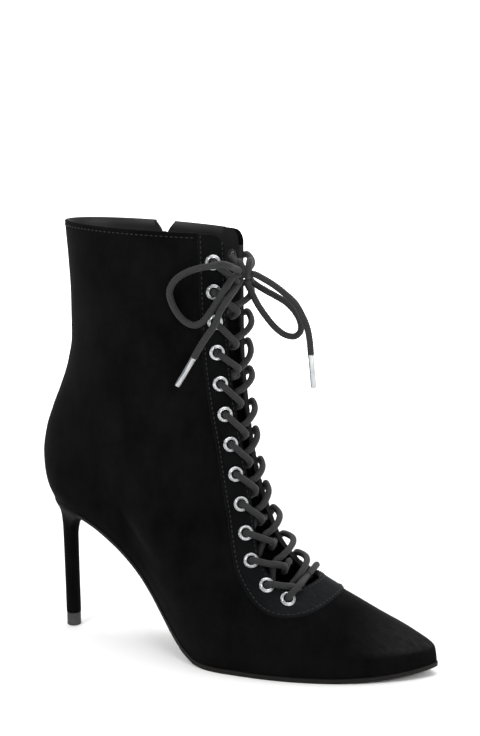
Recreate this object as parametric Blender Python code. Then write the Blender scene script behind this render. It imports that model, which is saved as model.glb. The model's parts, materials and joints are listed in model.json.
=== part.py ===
"""A right-foot, lace up ankle boot with a stiletto heel and a pointed toe.

The origin is the centre of the heel tip's foot, on the floor. +X points to the toe, +Y to the inner
side of the foot and +Z up. The outer side, with the bow, is at -Y.

The upper is drawn on level rings. Level 0 is the feather line, where the upper meets the sole, and
level 1 is the collar. A ring starts at the back of the boot (turn 0), and runs round the outer side
to the front (turn -1) and round the inner side to the front (turn +1).
"""

import math

import bmesh
import bpy
import numpy as np
from mathutils import Matrix, Vector
from mathutils.bvhtree import BVHTree

for thing in list(bpy.data.objects):
    bpy.data.objects.remove(thing)

MM = 0.001

# Driving sizes of the boot
TOE_REACH = 240 * MM  # heel tip's centre to the tip of the toe
SEAT_BACK = 9 * MM  # heel tip's centre to the back of the seat
SEAT_HEIGHT = 90 * MM  # floor to the feather line at the back of the seat
SHAFT_HEIGHT = 174 * MM  # back of the seat to the collar
SEAT_WIDTH = 50 * MM
WAIST_WIDTH = 45 * MM
BALL_WIDTH = 77 * MM
COLLAR_WIDTH = 62 * MM
TOE_SPRING = 5 * MM
TOE_SWING = 4 * MM  # how far the toe's tip leans to the inner side
WALL = 2 * MM
GAP = 0.3 * MM  # between two pieces that touch

# Throat and eyestay. The throat is wide at the collar, narrow at the ankle and wide over the instep.
THROAT_TOP_WIDTH = 35 * MM  # round the front, from edge to edge at the collar
THROAT_WAIST_WIDTH = 18.6 * MM
THROAT_FOOT_WIDTH = 50 * MM
THROAT_LENGTH = 221 * MM  # along the front, from the collar down to the throat's end
THROAT_END_REACH = 14 * MM  # how much of that is the round end
EYESTAY_WIDTH = 16 * MM
EYESTAY_STEP = 1 * MM
CORNER_RADIUS = 9 * MM
EYELET_PAIRS = 13
EYELET_INSET = 7.5 * MM  # throat's edge to the row of eyelets
TOP_EYELET_DROP = 16 * MM  # collar to the first eyelet
LAST_EYELET_ANGLE = 22  # how far round the throat's end the last eyelet sits, in degrees
EYELET_HOLE = 5 * MM
EYELET_BARREL = 6 * MM
EYELET_FLANGE = 9.3 * MM
EYELET_RIM = 1.1 * MM  # how far the flange stands up
EYELET_CROWDING = 0.28  # how much closer the eyelets sit towards the toe

# Laces and bow
LACE = 4 * MM
LACE_REST = 1.5 * MM  # how far a lace stays off the eyestay's edge, to clear the eyelets' flanges
LACE_TUCK = 3.5 * MM  # how far a crossing reaches in under the edge
CROSSING_SPREAD = 3 * MM  # between the centre lines of two laces where they cross
KNOT_WIDTH = 10 * MM
KNOT_AHEAD = 0.5 * MM  # collar's front to the knot's centre
KNOT_ASIDE = 4 * MM  # front's centre line to the knot's centre, towards the outer side
KNOT_DROP = 23 * MM  # collar's front to the knot's centre
BOW_SIZE = 60 * MM
AGLET_LENGTH = 19 * MM
AGLET_WIDTH = 3.6 * MM

# Zip, on the inner side
ZIP_TOP_X = 55 * MM
ZIP_FOOT_X = 45 * MM
ZIP_FOOT_HEIGHT = 102 * MM
ZIP_TOP_DROP = 6.5 * MM  # collar to the end of the tape
ZIP_SLOT = 4.4 * MM
ZIP_NOTCH_WIDTH = 13 * MM
ZIP_NOTCH_DEPTH = 6 * MM
ZIP_TAPE_WIDTH = 14 * MM
ZIP_TAPE = 0.8 * MM
ZIP_COIL_WIDTH = 3.4 * MM
ZIP_COIL = 1.4 * MM
SLIDER_DROP = 12 * MM  # collar to the slider's centre
SLIDER_WIDTH = 7 * MM
SLIDER_LENGTH = 11 * MM
SLIDER_PLATE = 1.6 * MM
PULL_WIDTH = 4.6 * MM
PULL_LENGTH = 22 * MM
PULL_THICKNESS = 1.2 * MM
PULL_PIN = 1.8 * MM

# Sole, insole and heel
TREAD_THICKNESS = 3.2 * MM
SHANK_THICKNESS = 2 * MM
SOLE_MARGIN = 0.6 * MM  # how far the sole stands out past the upper
INSOLE_THICKNESS = 2.2 * MM
HEEL_BREAST = 17 * MM  # heel tip's centre to the front of the heel under the seat
STEM_WIDTH = 9.8 * MM
STEM_LEAN = 1.2 * MM  # how far the stem's top stands behind its foot
HEEL_TIP_HEIGHT = 8.5 * MM
HEEL_TIP_WIDTH = 9 * MM

FOOT_LENGTH = TOE_REACH + SEAT_BACK
TREAD_TOP = TREAD_THICKNESS + GAP
TOTAL_HEIGHT = SEAT_HEIGHT + SHAFT_HEIGHT

# The rings. back_x is a share of SEAT_BACK, back_z of SHAFT_HEIGHT above the seat, front_x of
# TOE_REACH, front_z of TOTAL_HEIGHT above the toe's feather line, and sag of the feather line's dip.
# fullness is a share of the foot's half width, shaft the share of the shaft's own width in the ring,
# and girth that width as a share of COLLAR_WIDTH. back_round and front_round are the shares of the
# ring that its ends take, and front_power is 0.5 for a round end and 1 for a pointed one.
LEVEL_COLUMNS = (
    "level", "back_x", "back_z", "front_x", "front_z", "sag",
    "fullness", "shaft", "girth", "back_round", "front_round", "front_power",
)
LEVELS = (
    (0.00, -1.00, 0.000, 1.000, 0.000, 1.00, 1.00, 0.00, 1.00, 0.11, 0.42, 0.74),
    (0.08, -1.45, 0.052, 0.995, 0.033, 0.84, 1.05, 0.00, 1.00, 0.12, 0.42, 0.72),
    (0.16, -1.72, 0.104, 0.950, 0.061, 0.70, 1.02, 0.02, 0.98, 0.14, 0.42, 0.68),
    (0.25, -1.85, 0.167, 0.862, 0.094, 0.54, 0.94, 0.06, 0.96, 0.17, 0.42, 0.62),
    (0.35, -1.62, 0.247, 0.713, 0.155, 0.37, 0.86, 0.16, 0.94, 0.21, 0.43, 0.57),
    (0.45, -1.10, 0.325, 0.640, 0.208, 0.22, 0.80, 0.36, 0.93, 0.27, 0.45, 0.53),
    (0.55, -0.42, 0.408, 0.581, 0.283, 0.11, 0.78, 0.62, 0.92, 0.33, 0.49, 0.50),
    (0.65, 0.22, 0.500, 0.534, 0.385, 0.04, 0.78, 0.86, 0.92, 0.38, 0.53, 0.50),
    (0.75, 0.58, 0.603, 0.508, 0.517, 0.00, 0.80, 1.00, 0.93, 0.42, 0.55, 0.50),
    (0.85, 0.60, 0.736, 0.497, 0.680, 0.00, 0.80, 1.00, 0.95, 0.44, 0.56, 0.50),
    (0.93, 0.46, 0.874, 0.498, 0.832, 0.00, 0.80, 1.00, 0.98, 0.45, 0.56, 0.50),
    (1.00, 0.28, 1.000, 0.500, 0.949, 0.00, 0.80, 1.00, 1.00, 0.45, 0.56, 0.50),
)

# The feather line from the back of the seat (along 0) to the toe (along 1). height is a share of the
# seat's height above the tread, and spring of TOE_SPRING.
ARCH_COLUMNS = ("along", "height", "spring")
ARCH = (
    (0.000, 1.000, 0.00),
    (0.056, 0.969, 0.00),
    (0.104, 0.925, 0.00),
    (0.149, 0.861, 0.00),
    (0.189, 0.780, 0.00),
    (0.229, 0.682, 0.00),
    (0.269, 0.561, 0.00),
    (0.309, 0.415, 0.00),
    (0.349, 0.260, 0.00),
    (0.382, 0.145, 0.00),
    (0.414, 0.060, 0.00),
    (0.446, 0.012, 0.00),
    (0.478, 0.000, 0.00),
    (0.780, 0.000, 0.00),
    (0.860, 0.000, 0.14),
    (0.930, 0.000, 0.46),
    (1.000, 0.000, 1.00),
)

# The foot's half widths: where each lies along the ring, and its share of the named width.
PLAN_COLUMNS = ("outer_along", "outer_share", "inner_along", "inner_share")
PLAN = {
    "seat": (0.10, 0.50, 0.10, 0.50),
    "waist": (0.26, 0.53, 0.30, 0.47),
    "ball": (0.52, 0.54, 0.63, 0.46),
}

# How the throat's half width changes from the collar (down 0) to its round end (down 1): the shares
# of what its top and its foot are wider than its waist.
THROAT_COLUMNS = ("down", "top", "foot")
THROAT = (
    (0.00, 1.00, 0.00),
    (0.25, 0.70, 0.00),
    (0.50, 0.22, 0.00),
    (0.62, 0.00, 0.01),
    (0.69, 0.00, 0.04),
    (0.77, 0.00, 0.17),
    (0.85, 0.00, 0.49),
    (0.93, 0.00, 0.87),
    (1.00, 0.00, 1.00),
)

# Where the columns beside the throat meet the feather line, from the front's (rise 0) to the one at
# the eyestay's top corner (rise 1).
FOOT_FAN_COLUMNS = ("rise", "turn")
FOOT_FAN = (
    (0.00, 1.000),
    (0.05, 0.905),
    (0.10, 0.825),
    (0.15, 0.760),
    (0.20, 0.705),
    (0.25, 0.660),
    (1.00, 0.440),
)

# The heel from the seat (drop 0) to the heel tip (drop 1). flare is 1 at the seat's outline and 0 on
# the stem, and girth is a share of STEM_WIDTH.
HEEL_COLUMNS = ("drop", "flare", "girth")
HEEL = (
    (0.000, 1.00, 1.06),
    (0.030, 0.90, 1.06),
    (0.065, 0.68, 1.06),
    (0.105, 0.42, 1.06),
    (0.150, 0.20, 1.05),
    (0.210, 0.06, 1.04),
    (0.300, 0.00, 1.01),
    (0.620, 0.00, 0.97),
    (1.000, 0.00, 0.96),
)

# The bow's laces from the knot to their ends, as shares of BOW_SIZE from the knot's centre: towards
# the toe, towards the inner side, and up.
BOW_COLUMNS = ("ahead", "inner", "up")
BOW = {
    "bow_loop_outer": (
        (-0.015, -0.250, 0.076),
        (-0.028, -0.375, 0.114),
        (-0.077, -0.433, 0.132),
        (-0.139, -0.458, 0.118),
        (-0.308, -0.425, 0.083),
        (-0.458, -0.442, 0.025),
        (-0.561, -0.450, -0.056),
        (-0.609, -0.450, -0.161),
        (-0.588, -0.442, -0.269),
        (-0.529, -0.433, -0.375),
        (-0.448, -0.425, -0.450),
        (-0.364, -0.425, -0.475),
        (-0.280, -0.425, -0.441),
        (-0.192, -0.408, -0.331),
        (-0.108, -0.358, -0.177),
        (-0.068, -0.250, -0.072),
        (-0.056, -0.158, -0.019),
    ),
    "bow_loop_inner": (
        (0.022, 0.033, -0.123),
        (0.053, 0.050, -0.193),
        (0.093, 0.100, -0.308),
        (0.153, 0.167, -0.434),
        (0.246, 0.233, -0.570),
        (0.335, 0.283, -0.643),
        (0.419, 0.317, -0.654),
        (0.471, 0.333, -0.602),
        (0.470, 0.333, -0.521),
        (0.427, 0.317, -0.420),
        (0.343, 0.283, -0.319),
        (0.244, 0.233, -0.248),
        (0.143, 0.192, -0.187),
        (0.042, 0.150, -0.117),
    ),
    "lace_end_outer": (
        (-0.010, -0.075, -0.111),
        (0.000, -0.215, -0.157),
        (-0.022, -0.332, -0.231),
        (-0.076, -0.375, -0.333),
        (-0.155, -0.400, -0.457),
        (-0.264, -0.442, -0.633),
        (-0.361, -0.463, -0.804),
    ),
    "lace_end_inner": (
        (0.102, 0.017, -0.011),
        (0.174, 0.033, -0.047),
        (0.282, 0.067, -0.115),
        (0.396, 0.083, -0.200),
        (0.490, 0.100, -0.287),
        (0.563, 0.100, -0.401),
        (0.616, 0.100, -0.517),
        (0.644, 0.100, -0.645),
        (0.660, 0.100, -0.804),
    ),
}


def column(table, columns, name):
    """One named column of a table."""
    return [row[columns.index(name)] for row in table]


def smooth(xs, ys, x):
    """A smooth curve through the points, with no overshoot, going on straight past its ends."""
    xs, ys = np.asarray(xs, float), np.asarray(ys, float)
    x = np.asarray(x, float)
    step = np.diff(xs)
    rise = np.diff(ys) / step
    slope = np.empty_like(ys)
    slope[0], slope[-1] = rise[0], rise[-1]
    inner = rise[:-1] * rise[1:] > 0
    weight_a, weight_b = 2 * step[1:] + step[:-1], step[1:] + 2 * step[:-1]
    safe_a = np.where(inner, rise[:-1], 1.0)
    safe_b = np.where(inner, rise[1:], 1.0)
    mean = (weight_a + weight_b) / (weight_a / safe_a + weight_b / safe_b)
    slope[1:-1] = np.where(inner, mean, 0.0)
    i = np.clip(np.searchsorted(xs, x) - 1, 0, len(xs) - 2)
    t = np.clip((x - xs[i]) / step[i], 0, 1)
    curve = (
        ys[i] * (1 + 2 * t) * (1 - t) ** 2
        + ys[i + 1] * t * t * (3 - 2 * t)
        + step[i] * t * (1 - t) * (slope[i] * (1 - t) - slope[i + 1] * t)
    )
    before = np.minimum(x - xs[0], 0) * slope[0]
    after = np.maximum(x - xs[-1], 0) * slope[-1]
    return curve + before + after


def at_level(name, level):
    """A column of the rings at any level."""
    return smooth(column(LEVELS, LEVEL_COLUMNS, "level"), column(LEVELS, LEVEL_COLUMNS, name), level)


def feather_height(along):
    """Height of the upper's bottom edge."""
    place = column(ARCH, ARCH_COLUMNS, "along")
    height = smooth(place, column(ARCH, ARCH_COLUMNS, "height"), along)
    spring = smooth(place, column(ARCH, ARCH_COLUMNS, "spring"), along)
    return TREAD_TOP + height * (SEAT_HEIGHT - TREAD_TOP) + spring * TOE_SPRING


def foot_half_width(along, side):
    """Half width of the foot on the outer (-1) or inner (+1) side."""
    first = 0 if side < 0 else 2
    places = [PLAN[name][first] for name in ("seat", "waist", "ball")]
    widths = {"seat": SEAT_WIDTH, "waist": WAIST_WIDTH, "ball": BALL_WIDTH}
    halves = [PLAN[name][first + 1] * widths[name] for name in ("seat", "waist", "ball")]
    return smooth([-1] + places + [2], [halves[0]] + halves + [halves[-1]], along)


def rounded(t, power):
    """How a ring opens from its end (t 0) to its full width (t 1)."""
    t = np.clip(t, 0, 1)
    return (1 - (1 - t) ** 2) ** power


def inward_end(x, z, level, sign):
    """Unit directions into the boot, in the XZ plane, from a profile line of the rings' ends."""
    small = 1e-3
    level = np.clip(level, 0, 1)
    ahead, behind = np.clip(level + small, 0, 1), np.clip(level - small, 0, 1)
    run = (at_level(x[0], ahead) - at_level(x[0], behind)) * x[1]
    rise = (at_level(z[0], ahead) - at_level(z[0], behind)) * z[1]
    length = np.hypot(run, rise)
    lift = np.clip(level / 0.06, 0, 1)
    flat = sign * (1.25 if sign < 0 else 1.0)
    return lift * sign * rise / length + (1 - lift) * flat, -lift * sign * run / length


def last_surface(level, turn, inset=0.0):
    """Points of the upper's outer face, or of a face inside it, as an array with x, y and z last."""
    level, turn = np.broadcast_arrays(np.asarray(level, float), np.asarray(turn, float))
    along = (1 - np.cos(math.pi * np.abs(turn))) / 2
    back = inward_end(("back_x", SEAT_BACK), ("back_z", SHAFT_HEIGHT), level, 1)
    front = inward_end(("front_x", TOE_REACH), ("front_z", TOTAL_HEIGHT), level, -1)
    back_x = at_level("back_x", level) * SEAT_BACK + inset * back[0]
    back_z = SEAT_HEIGHT + at_level("back_z", level) * SHAFT_HEIGHT + inset * back[1]
    front_x = at_level("front_x", level) * TOE_REACH + inset * front[0]
    front_z = TREAD_TOP + TOE_SPRING + at_level("front_z", level) * TOTAL_HEIGHT + inset * front[1]
    foot_along = along + inset * (back[0] * (1 - along) + front[0] * along) / FOOT_LENGTH
    straight = SEAT_HEIGHT + (TREAD_TOP + TOE_SPRING - SEAT_HEIGHT) * along
    dip = (feather_height(foot_along) - straight) * at_level("sag", level)
    foot = np.where(turn < 0, foot_half_width(along, -1), foot_half_width(along, 1))
    foot = foot * at_level("fullness", level)
    shaft = at_level("shaft", level)
    half = foot * (1 - shaft) + shaft * at_level("girth", level) * COLLAR_WIDTH / 2 - inset
    half = half * rounded(along / at_level("back_round", level), 0.5)
    half = half * rounded((1 - along) / at_level("front_round", level), at_level("front_power", level))
    swing = TOE_SWING * np.clip(2 * along - 1, 0, 1) ** 2 * np.clip(1 - 2 * level, 0, 1)
    x = back_x + (front_x - back_x) * along
    y = np.where(turn < 0, -half, half) + swing
    z = back_z + (front_z - back_z) * along + dip
    return np.stack([x, y, z], -1)


def outward(level, turn):
    """Unit normals of the outer face, pointing out of the boot."""
    small = 1e-3
    level, turn = np.asarray(level, float), np.asarray(turn, float)
    up = last_surface(level + small, turn) - last_surface(level - small, turn)
    around = last_surface(level, wrapped(turn + small)) - last_surface(level, wrapped(turn - small))
    normal = np.cross(up, around)
    return normal / np.maximum(np.linalg.norm(normal, axis=-1, keepdims=True), 1e-12)


def wrapped(turn):
    """A turn past the front comes back on the other side."""
    return (np.asarray(turn, float) + 1) % 2 - 1


def wall_point(level, turn, depth=0.0):
    """Points below (depth > 0) or above (depth < 0) the upper's outer face."""
    return last_surface(level, turn) - outward(level, turn) * np.asarray(depth, float)[..., None]


def sole_outline(turn, inset, drop):
    """Points of the feather line, moved in from it by inset and down by drop."""
    turn = np.asarray(turn, float)
    edge = last_surface(np.zeros_like(turn), turn)
    normal = outward(np.zeros_like(turn), turn)
    small = 1e-4
    ahead = feather_height((edge[..., 0] + small + SEAT_BACK) / FOOT_LENGTH)
    slope = (ahead - feather_height((edge[..., 0] + SEAT_BACK) / FOOT_LENGTH)) / small
    sole_normal = np.stack([-slope, np.zeros_like(slope), np.ones_like(slope)], -1)
    sole_normal /= np.linalg.norm(sole_normal, axis=-1, keepdims=True)
    flat = normal - sole_normal * (normal * sole_normal).sum(-1, keepdims=True)
    flat /= np.linalg.norm(flat, axis=-1, keepdims=True)
    point = edge - flat * np.asarray(inset, float)[..., None]
    point[..., 2] = feather_height((point[..., 0] + SEAT_BACK) / FOOT_LENGTH) - drop
    return point


def sole_steepness(x):
    """How much longer a straight drop is than the sole's own thickness, at a place along it."""
    small = 1e-4
    along = (np.asarray(x, float) + SEAT_BACK) / FOOT_LENGTH
    slope = (feather_height(along + small / FOOT_LENGTH) - feather_height(along)) / small
    return np.sqrt(1 + slope * slope)


def throat_chart(down, across):
    """Level and turn of points measured on the upper: down from the collar along the front, and
    across from the front's centre line, below 0 on the outer side."""
    down, across = np.broadcast_arrays(np.asarray(down, float), np.asarray(across, float))
    levels = np.linspace(1.0, 0.0, 161)
    ridge = last_surface(levels, np.ones_like(levels))
    length = np.concatenate([[0], np.cumsum(np.linalg.norm(np.diff(ridge, axis=0), axis=1))])

    def cut(at, side_across):
        """The surface's cut square to the front line at one place, read off at a girth."""
        start = np.interp(at, length, levels)
        near = np.stack([np.interp(at, length, ridge[:, k]) for k in range(3)], -1)
        ahead = np.stack([np.interp(at + MM, length, ridge[:, k]) for k in range(3)], -1)
        behind = np.stack([np.interp(at - MM, length, ridge[:, k]) for k in range(3)], -1)
        along = (ahead - behind) / np.linalg.norm(ahead - behind, axis=-1, keepdims=True)
        turns = 1 - np.linspace(0, 0.62, 40)
        sign = np.where(side_across < 0, -1.0, 1.0)
        turn = sign[:, None] * turns[None, :]
        low, high = np.full(turn.shape, -0.3), np.full(turn.shape, 1.3)
        for _ in range(22):
            middle = (low + high) / 2
            away = ((last_surface(middle, turn) - near[:, None]) * along[:, None]).sum(-1)
            low, high = np.where(away > 0, middle, low), np.where(away > 0, high, middle)
        level = (low + high) / 2
        level[:, 0] = start
        place = last_surface(level, turn)
        girth = np.linalg.norm(np.diff(place, axis=1), axis=2)
        girth = np.concatenate([np.zeros((len(at), 1)), np.cumsum(girth, axis=1)], axis=1)
        found = [
            (np.interp(abs(a), g, lv), s * np.interp(abs(a), g, turns))
            for a, g, lv, s in zip(side_across, girth, level, sign)
        ]
        return np.array(found).T

    flat_down, flat_across = down.ravel(), across.ravel()
    level, turn = cut(flat_down, flat_across)
    top_level, _ = cut(np.zeros_like(flat_down), flat_across)
    fade = np.clip(1 - flat_down / (40 * MM), 0, 1)
    level = level + (1 - top_level) * fade
    return level.reshape(down.shape), turn.reshape(down.shape)


class Solid:
    """A mesh put together from grids and loops of points."""

    def __init__(self):
        self.points, self.faces = [], []

    def add(self, point):
        self.points.append(tuple(float(v) for v in point))
        return len(self.points) - 1

    def loop(self, points):
        return [self.add(p) for p in points]

    def face(self, *corners):
        unique = [c for i, c in enumerate(corners) if c not in corners[:i]]
        if len(unique) > 2:
            self.faces.append(unique)

    def band(self, first, second, closed=True):
        """Four-sided faces between two loops."""
        count = len(first)
        for i in range(count if closed else count - 1):
            j = (i + 1) % count
            self.face(first[i], first[j], second[j], second[i])

    def ladder(self, pairs):
        """A cap across a loop, given as pairs of its left and right points."""
        for (a, b), (c, d) in zip(pairs, pairs[1:]):
            self.face(a, c, d, b)

    def make(self, name, material, sharp=40, hidden=False):
        mesh = bpy.data.meshes.new(name)
        mesh.from_pydata(self.points, [], self.faces)
        shape = bmesh.new()
        shape.from_mesh(mesh)
        bmesh.ops.recalc_face_normals(shape, faces=shape.faces)
        shape.to_mesh(mesh)
        shape.free()
        mesh.shade_smooth()
        mesh.set_sharp_from_angle(angle=math.radians(sharp))
        thing = bpy.data.objects.new(name, mesh)
        bpy.context.scene.collection.objects.link(thing)
        if hidden:
            thing.hide_render = True
            thing.display_type = "WIRE"
        else:
            mesh.materials.append(material)
        return thing


def material(name, colour, roughness, metallic=0.0):
    made = bpy.data.materials.new(name)
    made.use_nodes = True
    shader = made.node_tree.nodes["Principled BSDF"]
    shader.inputs["Base Color"].default_value = (*colour, 1)
    shader.inputs["Roughness"].default_value = roughness
    shader.inputs["Metallic"].default_value = metallic
    return made


def cut(thing, cutter, operation="DIFFERENCE"):
    step = thing.modifiers.new(cutter.name, "BOOLEAN")
    step.operation = operation
    step.solver = "EXACT"
    step.object = cutter


# How finely the pieces are faceted
ARM_ROWS = 15  # along each side of the throat
END_ROWS = 5  # along each half of the throat's round end
COLLAR_COLUMNS = 22
SHELL_ROWS = 12
STAY_COLUMNS = 3
COLUMN_BOW = 2.0  # above 1, the columns stay back and come round the eyestay's widest place
STEM_STEPS = 16

suede = material("black_suede", (0.012, 0.012, 0.013), 0.95)
sock = material("lining", (0.05, 0.05, 0.053), 0.6)
sole_rubber = material("outsole", (0.03, 0.026, 0.024), 0.55)
tip_rubber = material("heel_tip", (0.05, 0.05, 0.05), 0.6)
eyelet_metal = material("eyelet_metal", (0.7, 0.71, 0.73), 0.25, 1.0)
lace_cord = material("lace", (0.035, 0.037, 0.04), 0.6)
aglet_shell = material("aglet", (0.16, 0.17, 0.18), 0.35)
zip_metal = material("zip_metal", (0.25, 0.25, 0.27), 0.35, 1.0)
zip_tape = material("zip_tape", (0.015, 0.015, 0.016), 0.8)


def throat_half(offset, arm_rows, end_rows, last_angle=90):
    """One half of a line that follows the throat's edge at an offset from it, from the collar down
    to the front: distances down from the collar and across from the centre."""
    centre = THROAT_LENGTH - THROAT_END_REACH
    inward = np.clip(CORNER_RADIUS - offset, 0, CORNER_RADIUS)
    top = CORNER_RADIUS - math.sqrt(CORNER_RADIUS**2 - inward**2)
    down_arm = top + (centre - top) * np.linspace(0, 1, arm_rows + 1)
    place = column(THROAT, THROAT_COLUMNS, "down")
    open_top = smooth(place, column(THROAT, THROAT_COLUMNS, "top"), down_arm / centre)
    open_foot = smooth(place, column(THROAT, THROAT_COLUMNS, "foot"), down_arm / centre)
    across_arm = offset + THROAT_WAIST_WIDTH / 2
    across_arm = across_arm + open_top * (THROAT_TOP_WIDTH - THROAT_WAIST_WIDTH) / 2
    across_arm = across_arm + open_foot * (THROAT_FOOT_WIDTH - THROAT_WAIST_WIDTH) / 2
    angle = np.radians(last_angle) * np.linspace(0, 1, end_rows + 1)[1:]
    down = np.concatenate([down_arm, centre + (THROAT_END_REACH + offset) * np.sin(angle)])
    return down, np.concatenate([across_arm, (THROAT_FOOT_WIDTH / 2 + offset) * np.cos(angle)])


def throat_line(offset):
    """Level and turn of the whole line: down the outer side, round the front and up the inner side."""
    down, across = throat_half(offset, ARM_ROWS, END_ROWS)
    level, turn = throat_chart(down, across)
    if down[0] < 1e-9:
        level[0] = 1.0
    turn[-1] = 1.0
    return np.concatenate([level, level[-2::-1]]), np.concatenate([-turn, turn[-2::-1]])


def eyelet_row():
    """Distances down and across of the eyelets of one side, from the top one."""
    down, across = throat_half(EYELET_INSET, 60, 12, LAST_EYELET_ANGLE)
    length = np.concatenate([[0], np.cumsum(np.hypot(np.diff(down), np.diff(across)))])
    start = np.interp(TOP_EYELET_DROP, down, length)
    share = np.linspace(0, 1, EYELET_PAIRS)
    share = share + EYELET_CROWDING * share**2 * (1 - share)
    place = start + (length[-1] - start) * share
    return np.interp(place, length, down), np.interp(place, length, across)


def edge_half(at_down):
    """Half width of the throat at distances down from the collar."""
    down, across = throat_half(0, 60, 12)
    return np.interp(at_down, down, across)


def throat_point(down, across, depth):
    """Points measured on the upper round its front, as throat_chart, and below its outer face."""
    level, turn = throat_chart(down, across)
    return wall_point(level, turn, np.full(level.shape, depth))


def throat_normal(down, across):
    level, turn = throat_chart(down, across)
    return outward(level, turn)


def foot_turns():
    """Turns of the columns where they meet the feather line, from the front round the outer side,
    the back and the inner side. The sole, the insole and the heel use them too, so their facets
    match the upper's."""
    rise = np.linspace(0, 1, ARM_ROWS + END_ROWS + 1)
    foot = -np.interp(rise, column(FOOT_FAN, FOOT_FAN_COLUMNS, "rise"), column(FOOT_FAN, FOOT_FAN_COLUMNS, "turn"))
    collar = np.linspace(foot[-1], -foot[-1], COLLAR_COLUMNS + 1)[1:-1]
    return np.concatenate([foot, collar, -foot[:0:-1]])


def make_upper():
    shell = Solid()
    seam_level, seam_turn = throat_line(EYESTAY_WIDTH)
    half_rows = ARM_ROWS + END_ROWS
    collar_turn = np.linspace(seam_turn[0], seam_turn[-1], COLLAR_COLUMNS + 1)[1:-1]
    top_level = np.concatenate([seam_level[half_rows::-1], np.ones(len(collar_turn)), seam_level[:half_rows:-1]])
    top_turn = np.concatenate([seam_turn[half_rows::-1], collar_turn, seam_turn[:half_rows:-1]])
    foot_turn = foot_turns()
    outer, inner = [], []
    for row in range(SHELL_ROWS + 1):
        share = row / SHELL_ROWS
        level, turn = top_level * share, foot_turn + (top_turn - foot_turn) * share**COLUMN_BOW
        outer.append(shell.loop(wall_point(level, turn)))
        inner.append(shell.loop(last_surface(level, turn, WALL)))
    for surface in (outer, inner):
        for below, above in zip(surface, surface[1:]):
            shell.band(below, above)
    shell.band(outer[0], inner[0])
    first, last = half_rows, half_rows + COLLAR_COLUMNS
    shell.band(outer[-1][first : last + 1], inner[-1][first : last + 1], closed=False)

    along_seam = list(range(half_rows, -1, -1)) + [len(foot_turn) - i for i in range(1, half_rows + 1)]
    seam_out = [outer[-1][i] for i in along_seam]
    stay_in = [[inner[-1][i] for i in along_seam]]
    stay_out = []
    for k in range(STAY_COLUMNS + 1):
        level, turn = throat_line(EYESTAY_WIDTH * (1 - k / STAY_COLUMNS))
        stay_out.append(shell.loop(wall_point(level, turn, np.full_like(level, -EYESTAY_STEP))))
        if k:
            stay_in.append(shell.loop(last_surface(level, turn, WALL)))
    shell.band(seam_out, stay_out[0], closed=False)
    for k in range(STAY_COLUMNS):
        shell.band(stay_out[k], stay_out[k + 1], closed=False)
        shell.band(stay_in[k], stay_in[k + 1], closed=False)
    shell.band(stay_out[-1], stay_in[-1], closed=False)
    for end in (0, -1):
        shell.face(stay_out[0][end], stay_out[1][end], stay_in[1][end], stay_in[0][end], seam_out[end])
        for k in range(1, STAY_COLUMNS):
            shell.face(stay_out[k][end], stay_out[k + 1][end], stay_in[k + 1][end], stay_in[k][end])
    return shell.make("upper", suede)


def breast_line(count):
    """The heel's front edge under the seat, from the outer side to the inner side."""
    turn = seat_turn()
    corner = sole_outline(np.array([-turn, turn]), np.zeros(2), GAP)
    share = np.linspace(0, 1, count + 2)[1:-1]
    points = corner[0] + (corner[1] - corner[0]) * share[:, None]
    return points


def seat_turn():
    """The turn at which the feather line passes the heel's breast."""
    along = (HEEL_BREAST + SEAT_BACK) / FOOT_LENGTH
    return math.acos(1 - 2 * along) / math.pi


def make_heel():
    solid = Solid()
    ring = foot_turns()
    side = np.append(ring[(ring >= -1e-9) & (ring < seat_turn() - 1e-3)], seat_turn())
    steps = len(side)
    outer = sole_outline(-side, np.zeros(steps), GAP)
    inner = sole_outline(side[:0:-1], np.zeros(steps - 1), GAP)
    breast = breast_line(5)
    seat = np.concatenate([outer, breast, inner])
    middle = np.array([HEEL_BREAST / 2 - SEAT_BACK / 2 + 1.5 * MM, 0.0])
    angle = np.arctan2(seat[:, 1] - middle[1], seat[:, 0] - middle[0])
    bottom = HEEL_TIP_HEIGHT + GAP
    loops = []
    for row in HEEL:
        drop, flare, girth = (row[HEEL_COLUMNS.index(n)] for n in HEEL_COLUMNS)
        radius = STEM_WIDTH / 2 * girth
        lean = -STEM_LEAN * (1 - drop)
        stem = np.stack([lean + radius * np.cos(angle), radius * np.sin(angle)], -1)
        xy = stem + (seat[:, :2] - stem) * flare
        z = seat[:, 2] * (1 - drop) + bottom * drop
        loops.append(solid.loop(np.column_stack([xy, z])))
    for upper_loop, lower_loop in zip(loops, loops[1:]):
        solid.band(upper_loop, lower_loop)
    top, count = loops[0], len(loops[0])
    solid.ladder([(top[0], top[0])] + [(top[i], top[count - i]) for i in range(1, steps)])
    solid.face(*top[steps - 1 : count - steps + 2])
    solid.face(*loops[-1])
    return solid.make("heel", suede)


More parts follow.
